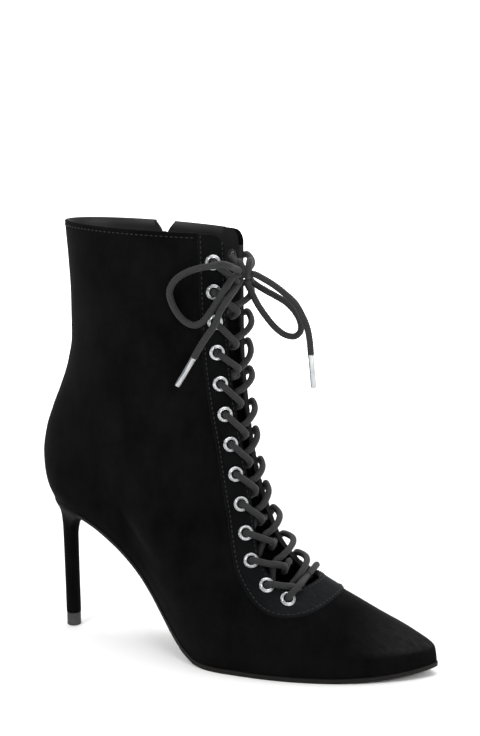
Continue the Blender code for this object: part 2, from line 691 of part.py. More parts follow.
def make_outsole():
    solid = Solid()
    back = seat_turn()
    ring = np.abs(foot_turns()[: len(foot_turns()) // 2])
    turn = np.append(back, ring[ring > back + 1e-3][::-1])
    steps = len(turn)
    edge = np.concatenate([-turn[::-1], turn[:-1]])
    breast = breast_line(5)
    breast[:, 0] += GAP

    def outline(margin, depth):
        loop = sole_outline(edge, np.full_like(edge, -margin), GAP)
        cut_back = np.abs(edge) <= back + 1e-9
        loop[cut_back, 0] += GAP
        loop = np.concatenate([loop[:steps], breast, loop[steps:]])
        along = (loop[:, 0] + SEAT_BACK) / FOOT_LENGTH
        tread = np.clip((along - 0.30) / 0.15, 0, 1)
        thick = SHANK_THICKNESS + (TREAD_THICKNESS - SHANK_THICKNESS) * tread * tread * (3 - 2 * tread)
        loop[:, 2] = feather_height(along) - GAP - depth * thick * sole_steepness(loop[:, 0])
        return solid.loop(loop)

    chamfer = 0.6 * MM
    loops = [outline(SOLE_MARGIN, 0), outline(SOLE_MARGIN, 0.75), outline(SOLE_MARGIN - chamfer, 1)]
    for first, second in zip(loops, loops[1:]):
        solid.band(first, second)
    for loop in (loops[0], loops[-1]):
        count, last = len(loop), steps - 1
        solid.ladder([(loop[0], loop[0])] + [(loop[i], loop[count - i]) for i in range(1, last + 1)])
        solid.face(*loop[last : count - last + 1])
    return solid.make("outsole", sole_rubber)


def make_insole():
    solid = Solid()
    turn = foot_turns()
    inset = WALL + GAP
    lower = last_surface(0, turn, inset)
    low, high = np.zeros_like(turn), np.full_like(turn, 0.3)
    for _ in range(24):
        middle = (low + high) / 2
        place = last_surface(middle, turn, inset)
        above = place[:, 2] - feather_height((place[:, 0] + SEAT_BACK) / FOOT_LENGTH)
        low, high = np.where(above < INSOLE_THICKNESS, middle, low), np.where(above < INSOLE_THICKNESS, high, middle)
    upper_edge = last_surface(high, turn, inset)
    upper_edge[:, 2] = feather_height((upper_edge[:, 0] + SEAT_BACK) / FOOT_LENGTH) + INSOLE_THICKNESS
    loops = [solid.loop(lower), solid.loop(upper_edge)]
    solid.band(*loops)
    for loop in loops:
        count = len(loop)
        solid.ladder([(loop[i], loop[(count - i) % count]) for i in range(count // 2 + 1)])
    return solid.make("insole", sock)


def make_heel_tip():
    solid = Solid()
    angle = np.linspace(0, 2 * math.pi, STEM_STEPS, endpoint=False)
    circle = np.column_stack([np.cos(angle), np.sin(angle)]) * HEEL_TIP_WIDTH / 2
    loops = [
        solid.loop(np.column_stack([circle, np.full(STEM_STEPS, height)])) for height in (0, HEEL_TIP_HEIGHT)
    ]
    solid.band(*loops)
    solid.face(*loops[0])
    solid.face(*loops[1])
    return solid.make("heel_tip", tip_rubber)




def frame_at(point, normal):
    """A place on the upper as a matrix: its Z points out, its Y up along the boot."""
    z = Vector(normal).normalized()
    x = Vector((0, 0, 1)).cross(z).normalized()
    y = z.cross(x)
    placed = Matrix((x, y, z)).transposed().to_4x4()
    placed.translation = Vector(point)
    return placed


def seated(frame, faces, radius):
    """A frame moved and tilted to lie flat on a faceted face, touching it at a radius round it."""
    for _ in range(2):
        angle = np.linspace(0, 2 * math.pi, 16, endpoint=False)
        down = -frame.col[2].to_3d()
        heights = []
        for a in angle:
            start = frame @ Vector((radius * math.cos(a), radius * math.sin(a), 4 * MM))
            heights.append(4 * MM - faces.ray_cast(start, down)[3])
        heights = np.array(heights)
        tilt_x = (heights * np.cos(angle)).mean() * 2 / radius
        tilt_y = (heights * np.sin(angle)).mean() * 2 / radius
        normal = frame.to_3x3() @ Vector((-tilt_x, -tilt_y, 1))
        point = frame @ Vector((0, 0, heights.mean()))
        flat = heights - radius * (tilt_x * np.cos(angle) + tilt_y * np.sin(angle))
        frame = frame_at(point + normal.normalized() * float(flat.max() - flat.mean()), normal)
    return frame


def eyelet_frames():
    """Frames on the eyestay's face at every eyelet: first the outer side's, from the top, then the
    inner side's."""
    down, across = eyelet_row()
    down = np.concatenate([down, down])
    across = np.concatenate([-across, across])
    points = throat_point(down, across, -EYESTAY_STEP)
    placed = [frame_at(p, n) for p, n in zip(points, throat_normal(down, across))]
    shape = bmesh.new()
    shape.from_mesh(upper.data)
    faces = BVHTree.FromBMesh(shape)
    shape.free()
    return [seated(frame, faces, EYELET_FLANGE / 2) for frame in placed]


def turned(solid, frame, profile, closed=True):
    """A shape turned about a frame's Z from rows of radius and height."""
    angle = np.linspace(0, 2 * math.pi, EYELET_STEPS, endpoint=False)
    loops = [
        solid.loop(frame @ Vector((radius * math.cos(a), radius * math.sin(a), height)) for a in angle)
        for radius, height in profile
    ]
    for first, second in zip(loops, loops[1:] + loops[:1] if closed else loops[1:]):
        solid.band(first, second)
    if not closed:
        solid.face(*loops[0])
        solid.face(*loops[-1])


def make_eyelet_holes(frames):
    solid = Solid()
    radius = EYELET_BARREL / 2 + GAP
    for frame in frames:
        turned(solid, frame, [(radius, 3 * MM), (radius, -EYESTAY_STEP - WALL - 3 * MM)], closed=False)
    return solid.make("eyelet_holes", None, hidden=True)


def make_eyelet(name, frame):
    solid = Solid()
    hole, barrel, flange = EYELET_HOLE / 2, EYELET_BARREL / 2, EYELET_FLANGE / 2
    foot = -EYESTAY_STEP - WALL - 0.5 * MM
    profile = [
        (hole, foot), (hole, 0.7 * EYELET_RIM), ((hole + flange) / 2, EYELET_RIM),
        (flange, 0.65 * EYELET_RIM), (flange, GAP), (barrel, GAP), (barrel, foot),
    ]
    turned(solid, frame, profile)
    return solid.make(name, eyelet_metal)


def tube(solid, route, radius, sides):
    """A round tube along a route of points, with flat ends."""
    route = np.asarray(route, float)
    along = np.gradient(route, axis=0)
    along /= np.linalg.norm(along, axis=1, keepdims=True)
    angle = np.linspace(0, 2 * math.pi, sides, endpoint=False)
    side = np.cross(along[0], (0.0, 0.6, 0.8))
    loops = []
    for point, direction in zip(route, along):
        side = side - direction * side.dot(direction)
        side /= np.linalg.norm(side)
        other = np.cross(direction, side)
        circle = np.cos(angle)[:, None] * side + np.sin(angle)[:, None] * other
        loops.append(solid.loop(point + radius * circle))
    for first, second in zip(loops, loops[1:]):
        solid.band(first, second)
    solid.face(*loops[0])
    solid.face(*loops[-1])


def unit(vector):
    return vector / np.linalg.norm(vector)


def over_edge(number, side):
    """Where a lace leaves an eyelet on the outside and where it bends over the throat's edge. The
    bend is given as the edge's corner and the direction out of the eyelet."""
    down, across = eyelet_row()
    ahead = min(number, EYELET_PAIRS - 1)
    share = EYELET_INSET / (across[number - 1] + across[ahead])
    bend_down = down[number - 1] + (down[ahead] - down[number - 1]) * share
    height = -EYESTAY_STEP - EYELET_RIM - 3 * GAP - LACE / 2
    start = throat_point(down[number - 1 : number], side * across[number - 1 : number], height)[0]
    corner = throat_point(np.array([bend_down]), side * edge_half(np.array([bend_down])), -EYESTAY_STEP)[0]
    normal = throat_normal(np.array([bend_down]), side * edge_half(np.array([bend_down])))[0]
    return start, corner, normal


def bend(start, corner, normal, end):
    """The lace's centre where it bends round a corner, between two straight runs."""
    before, after = unit(corner - start), unit(end - corner)
    away = unit(before - after + 0.3 * normal)
    half_cos = math.sqrt(max((1 + before.dot(after)) / 2, 0.3))
    return corner + away * (LACE / 2 + LACE_REST) / half_cos


def under_edge(number, side, tuck, depth):
    """A point of a lace inside the boot, under the throat's edge beside an eyelet."""
    down, _ = eyelet_row()
    at = down[number - 1 : number]
    return throat_point(at, side * (edge_half(at) + tuck), WALL + LACE / 2 + 2 * GAP + depth)[0]


def make_crossing(number):
    """Two laces that cross between one pair of eyelets and the pair below it, joined where they
    touch."""
    down, _ = eyelet_row()
    middle = (down[number - 1 : number] + down[number : number + 1]) / 2
    out = throat_normal(middle, np.zeros(1))[0]
    strands = []
    for side in (-1, 1):
        start, corner, normal = over_edge(number, side)
        end = under_edge(number + 1, -side, LACE_TUCK, 0)
        top = bend(start, corner, normal, end)
        centre = (top + end) / 2 - side * (-1) ** number * out * CROSSING_SPREAD / 2
        solid = Solid()
        tube(solid, [start, top, (top * 2 + centre) / 3, centre, end], LACE / 2, LACE_SIDES)
        strands.append(solid)
    lace = strands[0].make("lace_crossing_%02d" % number, lace_cord, sharp=70)
    cut(lace, strands[1].make("lace_crossing_%02d_other" % number, None, hidden=True), "UNION")


def make_bar():
    """The lace's straight run between the last two eyelets."""
    ends = [over_edge(EYELET_PAIRS, side) for side in (-1, 1)]
    first = bend(*ends[0], ends[1][1])
    second = bend(*ends[1], ends[0][1])
    solid = Solid()
    tube(solid, [ends[0][0], first, (first + second) / 2, second, ends[1][0]], LACE / 2, LACE_SIDES)
    return solid.make("lace_bar", lace_cord, sharp=70)


def knot_centre():
    front = last_surface(1.0, 1.0)
    return front + np.array([KNOT_AHEAD, -KNOT_ASIDE, -KNOT_DROP])


def ball(solid, centre, size):
    angle = np.linspace(0, 2 * math.pi, 8, endpoint=False)
    rise = np.linspace(-math.pi / 2, math.pi / 2, 6)
    ends = [solid.add(centre + np.array([0, 0, size[2] * math.sin(r)])) for r in (rise[0], rise[-1])]
    loops = []
    for r in rise[1:-1]:
        ring = np.column_stack([np.cos(angle) * math.cos(r), np.sin(angle) * math.cos(r), np.full(8, math.sin(r))])
        loops.append(solid.loop(centre + ring * size))
    for first, second in zip(loops, loops[1:]):
        solid.band(first, second)
    for end, loop in zip(ends, (loops[0], loops[-1])):
        for i in range(8):
            solid.face(end, loop[i], loop[(i + 1) % 8])


def make_knot():
    """The knot, with the two laces that come out to it from under the edges at the top eyelets."""
    centre = knot_centre()
    solid = Solid()
    ball(solid, centre, np.array([0.42, 0.5, 0.46]) * KNOT_WIDTH)
    knot = solid.make("lace_knot", lace_cord, sharp=70)
    for side, name in ((-1, "outer"), (1, "inner")):
        down, _ = eyelet_row()
        at = down[:1] - 4.5 * MM
        start = throat_point(at, side * (edge_half(at) + 1 * MM), WALL + LACE / 2 + 1.2 * MM)[0]
        strand = Solid()
        tube(strand, [start, (start + centre) / 2, centre], LACE / 2, LACE_SIDES)
        cut(knot, strand.make("lace_knot_" + name, None, hidden=True), "UNION")


def zip_chart(aside, drop):
    """Level and turn on the inner side: aside from the zip's centre line, above 0 to the toe, and
    drop down from the collar."""
    aside, drop = np.broadcast_arrays(np.asarray(aside, float), np.asarray(drop, float))
    top = last_surface(1.0, 0.5)[2]
    height = top - drop
    share = (height - ZIP_FOOT_HEIGHT) / (top - ZIP_FOOT_HEIGHT)
    x = ZIP_FOOT_X + (ZIP_TOP_X - ZIP_FOOT_X) * share + aside
    level, turn = 0.35 + 0.65 * share, np.full(x.shape, 0.5)
    small = 1e-3
    for _ in range(12):
        place = last_surface(level, turn)
        by_level = (last_surface(level + small, turn) - place) / small
        by_turn = (last_surface(level, turn + small) - place) / small
        miss_x, miss_z = x - place[..., 0], height - place[..., 2]
        size = by_level[..., 0] * by_turn[..., 2] - by_level[..., 2] * by_turn[..., 0]
        level = level + (miss_x * by_turn[..., 2] - miss_z * by_turn[..., 0]) / size
        turn = np.clip(turn + (by_level[..., 0] * miss_z - by_level[..., 2] * miss_x) / size, 0.1, 0.9)
    return level, turn


def zip_prism(rows):
    """A solid from rows of drop and of points (aside, depth) round its section."""
    solid = Solid()
    loops = []
    for drop, section in rows:
        aside = np.array([p[0] for p in section])
        depth = np.array([p[1] for p in section])
        level, turn = zip_chart(aside, np.full(aside.shape, drop))
        loops.append(solid.loop(wall_point(level, turn, depth)))
    for first, second in zip(loops, loops[1:]):
        solid.band(first, second)
    solid.face(*loops[0])
    solid.face(*loops[-1])
    return solid


def zip_length():
    return float(last_surface(1.0, 0.5)[2]) - ZIP_FOOT_HEIGHT


def make_zip_slot():
    """The slot for the zip, with a notch at the collar."""
    above, below, out = WALL + 3 * MM, WALL + 3 * MM, 3 * MM
    rows = []
    notch = (ZIP_NOTCH_WIDTH - ZIP_SLOT) / 2
    drops = [-4 * MM, 0, ZIP_NOTCH_DEPTH / 2, ZIP_NOTCH_DEPTH]
    for drop in drops + list(np.linspace(ZIP_NOTCH_DEPTH, zip_length(), ZIP_ROWS)[1:]):
        half = ZIP_SLOT / 2 + notch * max(0, 1 - max(drop, 0) / ZIP_NOTCH_DEPTH)
        rows.append((drop, [(-half, -out), (half, -out), (half, below), (-half, below)]))
    return zip_prism(rows).make("zip_slot", None, hidden=True)


def make_zip_track():
    tape, coil = ZIP_TAPE_WIDTH / 2, ZIP_COIL_WIDTH / 2
    face = WALL + 2 * GAP
    section = [
        (-tape, face + ZIP_TAPE), (-tape, face), (-coil, face), (-coil, face - ZIP_COIL),
        (coil, face - ZIP_COIL), (coil, face), (tape, face), (tape, face + ZIP_TAPE),
    ]
    drops = np.linspace(ZIP_TOP_DROP, zip_length() + 6 * MM, ZIP_ROWS)
    foot = zip_length() - 2 * MM
    narrow = [(a, max(d, face)) for a, d in section]
    rows = [(d, section) for d in drops if d < foot]
    solid = zip_prism(rows + [(foot, section), (foot + 0.2 * MM, [(a, d + 0.4 * MM) for a, d in narrow])])
    return solid.make("zip_track", zip_tape)


def slider_frame():
    """The slider's place on the outer face: X to the heel, Y up, Z out."""
    level, turn = zip_chart(np.zeros(1), np.full(1, SLIDER_DROP))
    placed = frame_at(wall_point(level, turn)[0], outward(level, turn)[0])
    return placed


def box(solid, frame, low, high):
    corners = [(x, y) for x, y in ((low[0], low[1]), (high[0], low[1]), (high[0], high[1]), (low[0], high[1]))]
    loops = [solid.loop(frame @ Vector((x, y, z)) for x, y in corners) for z in (low[2], high[2])]
    solid.band(*loops)
    solid.face(*loops[0])
    solid.face(*loops[1])


def make_slider(frame):
    """The slider: a plate outside the slot, its neck, and two lugs for the pull's pin."""
    base, top = 2 * GAP, 2 * GAP + SLIDER_PLATE
    half_w, half_l = SLIDER_WIDTH / 2, SLIDER_LENGTH / 2
    plate = Solid()
    box(plate, frame, (-half_w, -half_l, base), (half_w, half_l, top))
    slider = plate.make("zip_slider", zip_metal)
    others = [((-0.8 * MM, -0.36 * SLIDER_LENGTH, -0.5 * MM), (0.8 * MM, 0.36 * SLIDER_LENGTH, base + 0.5 * MM))]
    lug = PULL_WIDTH / 2 + GAP
    height = top + PULL_PIN + 3 * GAP
    for side in (-1, 1):
        near, far = sorted((side * lug, side * (lug + 0.8 * MM)))
        others.append(((near, -1.4 * MM, top - 0.5 * MM), (far, 1.4 * MM, height)))
    for index, (low, high) in enumerate(others):
        piece = Solid()
        box(piece, frame, low, high)
        cut(slider, piece.make("slider_part_%d" % index, None, hidden=True), "UNION")


def make_pull(frame):
    """The pull, hanging from its pin."""
    axis = 2 * GAP + SLIDER_PLATE + GAP + PULL_PIN / 2
    solid = Solid()
    tube(
        solid,
        [frame @ Vector((x * PULL_WIDTH / 2, 0, axis)) for x in (-1, 0, 1)],
        PULL_PIN / 2, 8,
    )
    pull = solid.make("zip_pull", zip_metal)
    tab = Solid()
    widths = [(-0.3 * MM, 0.40), (-3 * MM, 0.28), (-9 * MM, 0.28), (-12 * MM, 0.5), (-PULL_LENGTH, 0.5)]
    loops = []
    for y, share in widths:
        half, thick = share * PULL_WIDTH, PULL_THICKNESS / 2
        ring = [(-half, -thick), (half, -thick), (half, thick), (-half, thick)]
        loops.append(tab.loop(frame @ Vector((x, y, axis + z)) for x, z in ring))
    for first, second in zip(loops, loops[1:]):
        tab.band(first, second)
    tab.face(*loops[0])
    tab.face(*loops[-1])
    cut(pull, tab.make("pull_tab", None, hidden=True), "UNION")


def bow_route(name):
    """The centre line of a lace of the bow: a smooth curve through the points of its table, read at
    even steps."""
    points = knot_centre() + np.array(BOW[name]) * BOW_SIZE
    ahead = np.concatenate([points[1:], [2 * points[-1] - points[-2]]])
    before = np.concatenate([[2 * points[0] - points[1]], points[:-1]])
    slope = (ahead - before) / 2
    t = np.linspace(0, 1, 12, endpoint=False)[:, None]
    fine = [
        (1 + 2 * t) * (1 - t) ** 2 * p + t * t * (3 - 2 * t) * q + t * (1 - t) * ((1 - t) * m - t * n)
        for p, q, m, n in zip(points, points[1:], slope, slope[1:])
    ]
    fine = np.concatenate(fine + [points[-1:]])
    length = np.concatenate([[0], np.cumsum(np.linalg.norm(np.diff(fine, axis=0), axis=1))])
    place = np.linspace(0, length[-1], round(length[-1] / (BOW_STEP * LACE)) + 1)
    return np.stack([np.interp(place, length, fine[:, k]) for k in range(3)], -1)


def make_cord(name, route):
    line = bpy.data.curves.new(name, "CURVE")
    line.dimensions = "3D"
    spline = line.splines.new("POLY")
    spline.points.add(len(route) - 1)
    for point, place in zip(spline.points, route):
        point.co = (*place, 1)
    line.bevel_depth = LACE / 2
    line.bevel_resolution = 2
    line.use_fill_caps = True
    line.materials.append(lace_cord)
    thing = bpy.data.objects.new(name, line)
    bpy.context.scene.collection.objects.link(thing)


def make_bow():
    for name in ("bow_loop_outer", "bow_loop_inner", "lace_end_outer", "lace_end_inner"):
        route = bow_route(name)
        make_cord(name, route)
        if name.startswith("lace_end"):
            along = unit(route[-1] - route[-2])
            start = route[-1] + along * GAP
            shell = Solid()
            tube(shell, [start, start + along * AGLET_LENGTH / 2, start + along * AGLET_LENGTH], AGLET_WIDTH / 2, 8)
            shell.make(name.replace("lace_end", "aglet"), aglet_shell)


LACE_SIDES = 6
EYELET_STEPS = 8
BOW_STEP = 2  # lace widths between the points of a bow's lace
ZIP_ROWS = 9

upper = make_upper()
make_insole()
make_outsole()
make_heel()
make_heel_tip()
frames = eyelet_frames()
cut(upper, make_eyelet_holes(frames))
cut(upper, make_zip_slot())
for index, frame in enumerate(frames):
    side_name = "outer" if index < EYELET_PAIRS else "inner"
    make_eyelet("eyelet_%s_%02d" % (side_name, index % EYELET_PAIRS + 1), frame)
for number in range(1, EYELET_PAIRS):
    make_crossing(number)
make_bar()
make_knot()
make_bow()
make_zip_track()
make_slider(slider_frame())
make_pull(slider_frame())
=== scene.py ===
"""The dressed lace up ankle boot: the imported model's frame with its leather, laces, stitching and
zip, a plain floor, lights and the photo's camera. The surface functions are the part's own."""

import functools
import json
import math

import bmesh
import bpy
import numpy as np
from mathutils import Matrix, Vector, noise
from mathutils.bvhtree import BVHTree

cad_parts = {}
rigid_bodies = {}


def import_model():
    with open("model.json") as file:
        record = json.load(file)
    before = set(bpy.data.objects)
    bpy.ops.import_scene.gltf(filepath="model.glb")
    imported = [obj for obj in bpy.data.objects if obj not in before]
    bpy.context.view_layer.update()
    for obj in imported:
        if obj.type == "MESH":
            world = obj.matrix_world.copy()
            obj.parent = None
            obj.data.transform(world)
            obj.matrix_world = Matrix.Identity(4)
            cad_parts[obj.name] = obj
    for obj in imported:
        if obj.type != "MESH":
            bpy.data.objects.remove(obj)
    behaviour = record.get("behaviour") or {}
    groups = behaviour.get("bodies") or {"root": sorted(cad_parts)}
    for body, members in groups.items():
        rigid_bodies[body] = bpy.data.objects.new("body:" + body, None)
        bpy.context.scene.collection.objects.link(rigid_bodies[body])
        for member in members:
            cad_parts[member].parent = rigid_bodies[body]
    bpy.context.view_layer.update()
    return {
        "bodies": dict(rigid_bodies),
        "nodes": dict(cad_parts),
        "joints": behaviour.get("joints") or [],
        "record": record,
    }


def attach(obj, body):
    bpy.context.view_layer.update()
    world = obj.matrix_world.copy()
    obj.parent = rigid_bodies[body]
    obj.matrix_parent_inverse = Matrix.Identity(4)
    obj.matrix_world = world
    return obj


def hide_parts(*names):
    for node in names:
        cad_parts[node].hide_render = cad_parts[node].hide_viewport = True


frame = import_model()

MM = 0.001

# Driving sizes of the boot
TOE_REACH = 240 * MM  # heel tip's centre to the tip of the toe
SEAT_BACK = 9 * MM  # heel tip's centre to the back of the seat
SEAT_HEIGHT = 90 * MM  # floor to the feather line at the back of the seat
SHAFT_HEIGHT = 174 * MM  # back of the seat to the collar
SEAT_WIDTH = 50 * MM
WAIST_WIDTH = 45 * MM
BALL_WIDTH = 77 * MM
COLLAR_WIDTH = 62 * MM
TOE_SPRING = 5 * MM
TOE_SWING = 4 * MM  # how far the toe's tip leans to the inner side
WALL = 2 * MM
GAP = 0.3 * MM  # between two pieces that touch

# Throat and eyestay. The throat is wide at the collar, narrow at the ankle and wide over the instep.
THROAT_TOP_WIDTH = 35 * MM  # round the front, from edge to edge at the collar
THROAT_WAIST_WIDTH = 18.6 * MM
THROAT_FOOT_WIDTH = 50 * MM
THROAT_LENGTH = 221 * MM  # along the front, from the collar down to the throat's end
THROAT_END_REACH = 14 * MM  # how much of that is the round end
EYESTAY_WIDTH = 16 * MM
EYESTAY_STEP = 1 * MM
CORNER_RADIUS = 9 * MM
EYELET_PAIRS = 13
EYELET_INSET = 7.5 * MM  # throat's edge to the row of eyelets
TOP_EYELET_DROP = 16 * MM  # collar to the first eyelet
LAST_EYELET_ANGLE = 22  # how far round the throat's end the last eyelet sits, in degrees
EYELET_HOLE = 5 * MM
EYELET_BARREL = 6 * MM
EYELET_FLANGE = 9.3 * MM
EYELET_RIM = 1.1 * MM  # how far the flange stands up
EYELET_CROWDING = 0.28  # how much closer the eyelets sit towards the toe

# Laces and bow
LACE = 4 * MM
KNOT_AHEAD = 0.5 * MM  # collar's front to the knot's centre
KNOT_ASIDE = 4 * MM  # front's centre line to the knot's centre, towards the outer side
KNOT_DROP = 23 * MM  # collar's front to the knot's centre
BOW_SIZE = 60 * MM
AGLET_LENGTH = 19 * MM
AGLET_WIDTH = 3.6 * MM

# Zip, on the inner side
ZIP_TOP_X = 55 * MM
ZIP_FOOT_X = 45 * MM
ZIP_FOOT_HEIGHT = 102 * MM
ZIP_TOP_DROP = 6.5 * MM  # collar to the end of the tape
ZIP_SLOT = 4.4 * MM
ZIP_NOTCH_WIDTH = 13 * MM
ZIP_NOTCH_DEPTH = 6 * MM
ZIP_TAPE_WIDTH = 14 * MM
ZIP_TAPE = 0.8 * MM
ZIP_COIL = 1.4 * MM
SLIDER_DROP = 12 * MM  # collar to the slider's centre
SLIDER_WIDTH = 7 * MM
SLIDER_LENGTH = 11 * MM
SLIDER_PLATE = 1.6 * MM
PULL_WIDTH = 4.6 * MM
PULL_THICKNESS = 1.2 * MM
PULL_PIN = 1.8 * MM

# Sole, insole and heel
TREAD_THICKNESS = 3.2 * MM
SHANK_THICKNESS = 2 * MM
SOLE_MARGIN = 0.6 * MM  # how far the sole stands out past the upper
INSOLE_THICKNESS = 2.2 * MM
HEEL_BREAST = 17 * MM  # heel tip's centre to the front of the heel under the seat
STEM_WIDTH = 9.8 * MM
STEM_LEAN = 1.2 * MM  # how far the stem's top stands behind its foot
HEEL_TIP_HEIGHT = 8.5 * MM
HEEL_TIP_WIDTH = 9 * MM

FOOT_LENGTH = TOE_REACH + SEAT_BACK
TREAD_TOP = TREAD_THICKNESS + GAP
TOTAL_HEIGHT = SEAT_HEIGHT + SHAFT_HEIGHT

# The rings. back_x is a share of SEAT_BACK, back_z of SHAFT_HEIGHT above the seat, front_x of
# TOE_REACH, front_z of TOTAL_HEIGHT above the toe's feather line, and sag of the feather line's dip.
# fullness is a share of the foot's half width, shaft the share of the shaft's own width in the ring,
# and girth that width as a share of COLLAR_WIDTH. back_round and front_round are the shares of the
# ring that its ends take, and front_power is 0.5 for a round end and 1 for a pointed one.
LEVEL_COLUMNS = (
    "level", "back_x", "back_z", "front_x", "front_z", "sag",
    "fullness", "shaft", "girth", "back_round", "front_round", "front_power",
)
LEVELS = (
    (0.00, -1.00, 0.000, 1.000, 0.000, 1.00, 1.00, 0.00, 1.00, 0.11, 0.42, 0.74),
    (0.08, -1.45, 0.052, 0.995, 0.033, 0.84, 1.05, 0.00, 1.00, 0.12, 0.42, 0.72),
    (0.16, -1.72, 0.104, 0.950, 0.061, 0.70, 1.02, 0.02, 0.98, 0.14, 0.42, 0.68),
    (0.25, -1.85, 0.167, 0.862, 0.094, 0.54, 0.94, 0.06, 0.96, 0.17, 0.42, 0.62),
    (0.35, -1.62, 0.247, 0.713, 0.155, 0.37, 0.86, 0.16, 0.94, 0.21, 0.43, 0.57),
    (0.45, -1.10, 0.325, 0.640, 0.208, 0.22, 0.80, 0.36, 0.93, 0.27, 0.45, 0.53),
    (0.55, -0.42, 0.408, 0.581, 0.283, 0.11, 0.78, 0.62, 0.92, 0.33, 0.49, 0.50),
    (0.65, 0.22, 0.500, 0.534, 0.385, 0.04, 0.78, 0.86, 0.92, 0.38, 0.53, 0.50),
    (0.75, 0.58, 0.603, 0.508, 0.517, 0.00, 0.80, 1.00, 0.93, 0.42, 0.55, 0.50),
    (0.85, 0.60, 0.736, 0.497, 0.680, 0.00, 0.80, 1.00, 0.95, 0.44, 0.56, 0.50),
    (0.93, 0.46, 0.874, 0.498, 0.832, 0.00, 0.80, 1.00, 0.98, 0.45, 0.56, 0.50),
    (1.00, 0.28, 1.000, 0.500, 0.949, 0.00, 0.80, 1.00, 1.00, 0.45, 0.56, 0.50),
)

# The feather line from the back of the seat (along 0) to the toe (along 1). height is a share of the
# seat's height above the tread, and spring of TOE_SPRING.
ARCH_COLUMNS = ("along", "height", "spring")
ARCH = (
    (0.000, 1.000, 0.00),
    (0.056, 0.969, 0.00),
    (0.104, 0.925, 0.00),
    (0.149, 0.861, 0.00),
    (0.189, 0.780, 0.00),
    (0.229, 0.682, 0.00),
    (0.269, 0.561, 0.00),
    (0.309, 0.415, 0.00),
    (0.349, 0.260, 0.00),
    (0.382, 0.145, 0.00),
    (0.414, 0.060, 0.00),
    (0.446, 0.012, 0.00),
    (0.478, 0.000, 0.00),
    (0.780, 0.000, 0.00),
    (0.860, 0.000, 0.14),
    (0.930, 0.000, 0.46),
    (1.000, 0.000, 1.00),
)

# The foot's half widths: where each lies along the ring, and its share of the named width.
PLAN_COLUMNS = ("outer_along", "outer_share", "inner_along", "inner_share")
PLAN = {
    "seat": (0.10, 0.50, 0.10, 0.50),
    "waist": (0.26, 0.53, 0.30, 0.47),
    "ball": (0.52, 0.54, 0.63, 0.46),
}

# How the throat's half width changes from the collar (down 0) to its round end (down 1): the shares
# of what its top and its foot are wider than its waist.
THROAT_COLUMNS = ("down", "top", "foot")
THROAT = (
    (0.00, 1.00, 0.00),
    (0.25, 0.70, 0.00),
    (0.50, 0.22, 0.00),
    (0.62, 0.00, 0.01),
    (0.69, 0.00, 0.04),
    (0.77, 0.00, 0.17),
    (0.85, 0.00, 0.49),
    (0.93, 0.00, 0.87),
    (1.00, 0.00, 1.00),
)

# Where the columns beside the throat meet the feather line, from the front's (rise 0) to the one at
# the eyestay's top corner (rise 1).
FOOT_FAN_COLUMNS = ("rise", "turn")
FOOT_FAN = (
    (0.00, 1.000),
    (0.05, 0.905),
    (0.10, 0.825),
    (0.15, 0.760),
    (0.20, 0.705),
    (0.25, 0.660),
    (1.00, 0.440),
)

# The heel from the seat (drop 0) to the heel tip (drop 1). flare is 1 at the seat's outline and 0 on
# the stem, and girth is a share of STEM_WIDTH.
HEEL_COLUMNS = ("drop", "flare", "girth")
HEEL = (
    (0.000, 1.00, 1.06),
    (0.030, 0.90, 1.06),
    (0.065, 0.68, 1.06),
    (0.105, 0.42, 1.06),
    (0.150, 0.20, 1.05),
    (0.210, 0.06, 1.04),
    (0.300, 0.00, 1.01),
    (0.620, 0.00, 0.97),
    (1.000, 0.00, 0.96),
)

# The bow's laces from the knot to their ends, as shares of BOW_SIZE from the knot's centre: towards
# the toe, towards the inner side, and up
BOW = {
    "bow_loop_outer": (
        (-0.015, -0.250, 0.076),
        (-0.028, -0.375, 0.114),
        (-0.077, -0.433, 0.132),
        (-0.139, -0.458, 0.118),
        (-0.308, -0.425, 0.083),
        (-0.458, -0.442, 0.025),
        (-0.561, -0.450, -0.056),
        (-0.609, -0.450, -0.161),
        (-0.588, -0.442, -0.269),
        (-0.529, -0.433, -0.375),
        (-0.448, -0.425, -0.450),
        (-0.364, -0.425, -0.475),
        (-0.280, -0.425, -0.441),
        (-0.192, -0.408, -0.331),
        (-0.108, -0.358, -0.177),
        (-0.068, -0.250, -0.072),
        (-0.056, -0.158, -0.019),
    ),
    "bow_loop_inner": (
        (0.022, 0.033, -0.123),
        (0.053, 0.050, -0.193),
        (0.093, 0.100, -0.308),
        (0.153, 0.167, -0.434),
        (0.246, 0.233, -0.570),
        (0.335, 0.283, -0.643),
        (0.419, 0.317, -0.654),
        (0.471, 0.333, -0.602),
        (0.470, 0.333, -0.521),
        (0.427, 0.317, -0.420),
        (0.343, 0.283, -0.319),
        (0.244, 0.233, -0.248),
        (0.143, 0.192, -0.187),
        (0.042, 0.150, -0.117),
    ),
    "lace_end_outer": (
        (-0.010, -0.075, -0.111),
        (0.000, -0.215, -0.157),
        (-0.022, -0.332, -0.231),
        (-0.076, -0.375, -0.333),
        (-0.155, -0.400, -0.457),
        (-0.264, -0.442, -0.633),
        (-0.361, -0.463, -0.804),
    ),
    "lace_end_inner": (
        (0.102, 0.017, -0.011),
        (0.174, 0.033, -0.047),
        (0.282, 0.067, -0.115),
        (0.396, 0.083, -0.200),
        (0.490, 0.100, -0.287),
        (0.563, 0.100, -0.401),
        (0.616, 0.100, -0.517),
        (0.644, 0.100, -0.645),
        (0.660, 0.100, -0.804),
    ),
}


# How finely the pieces are made
ARM_ROWS = 78
END_ROWS = 26
COLLAR_COLUMNS = 120
SHELL_ROWS = 84
STAY_COLUMNS = 7
COLUMN_BOW = 2.0  # above 1, the columns stay back and come round the eyestay's widest place


def column(table, columns, name):
    """One named column of a table."""
    return [row[columns.index(name)] for row in table]


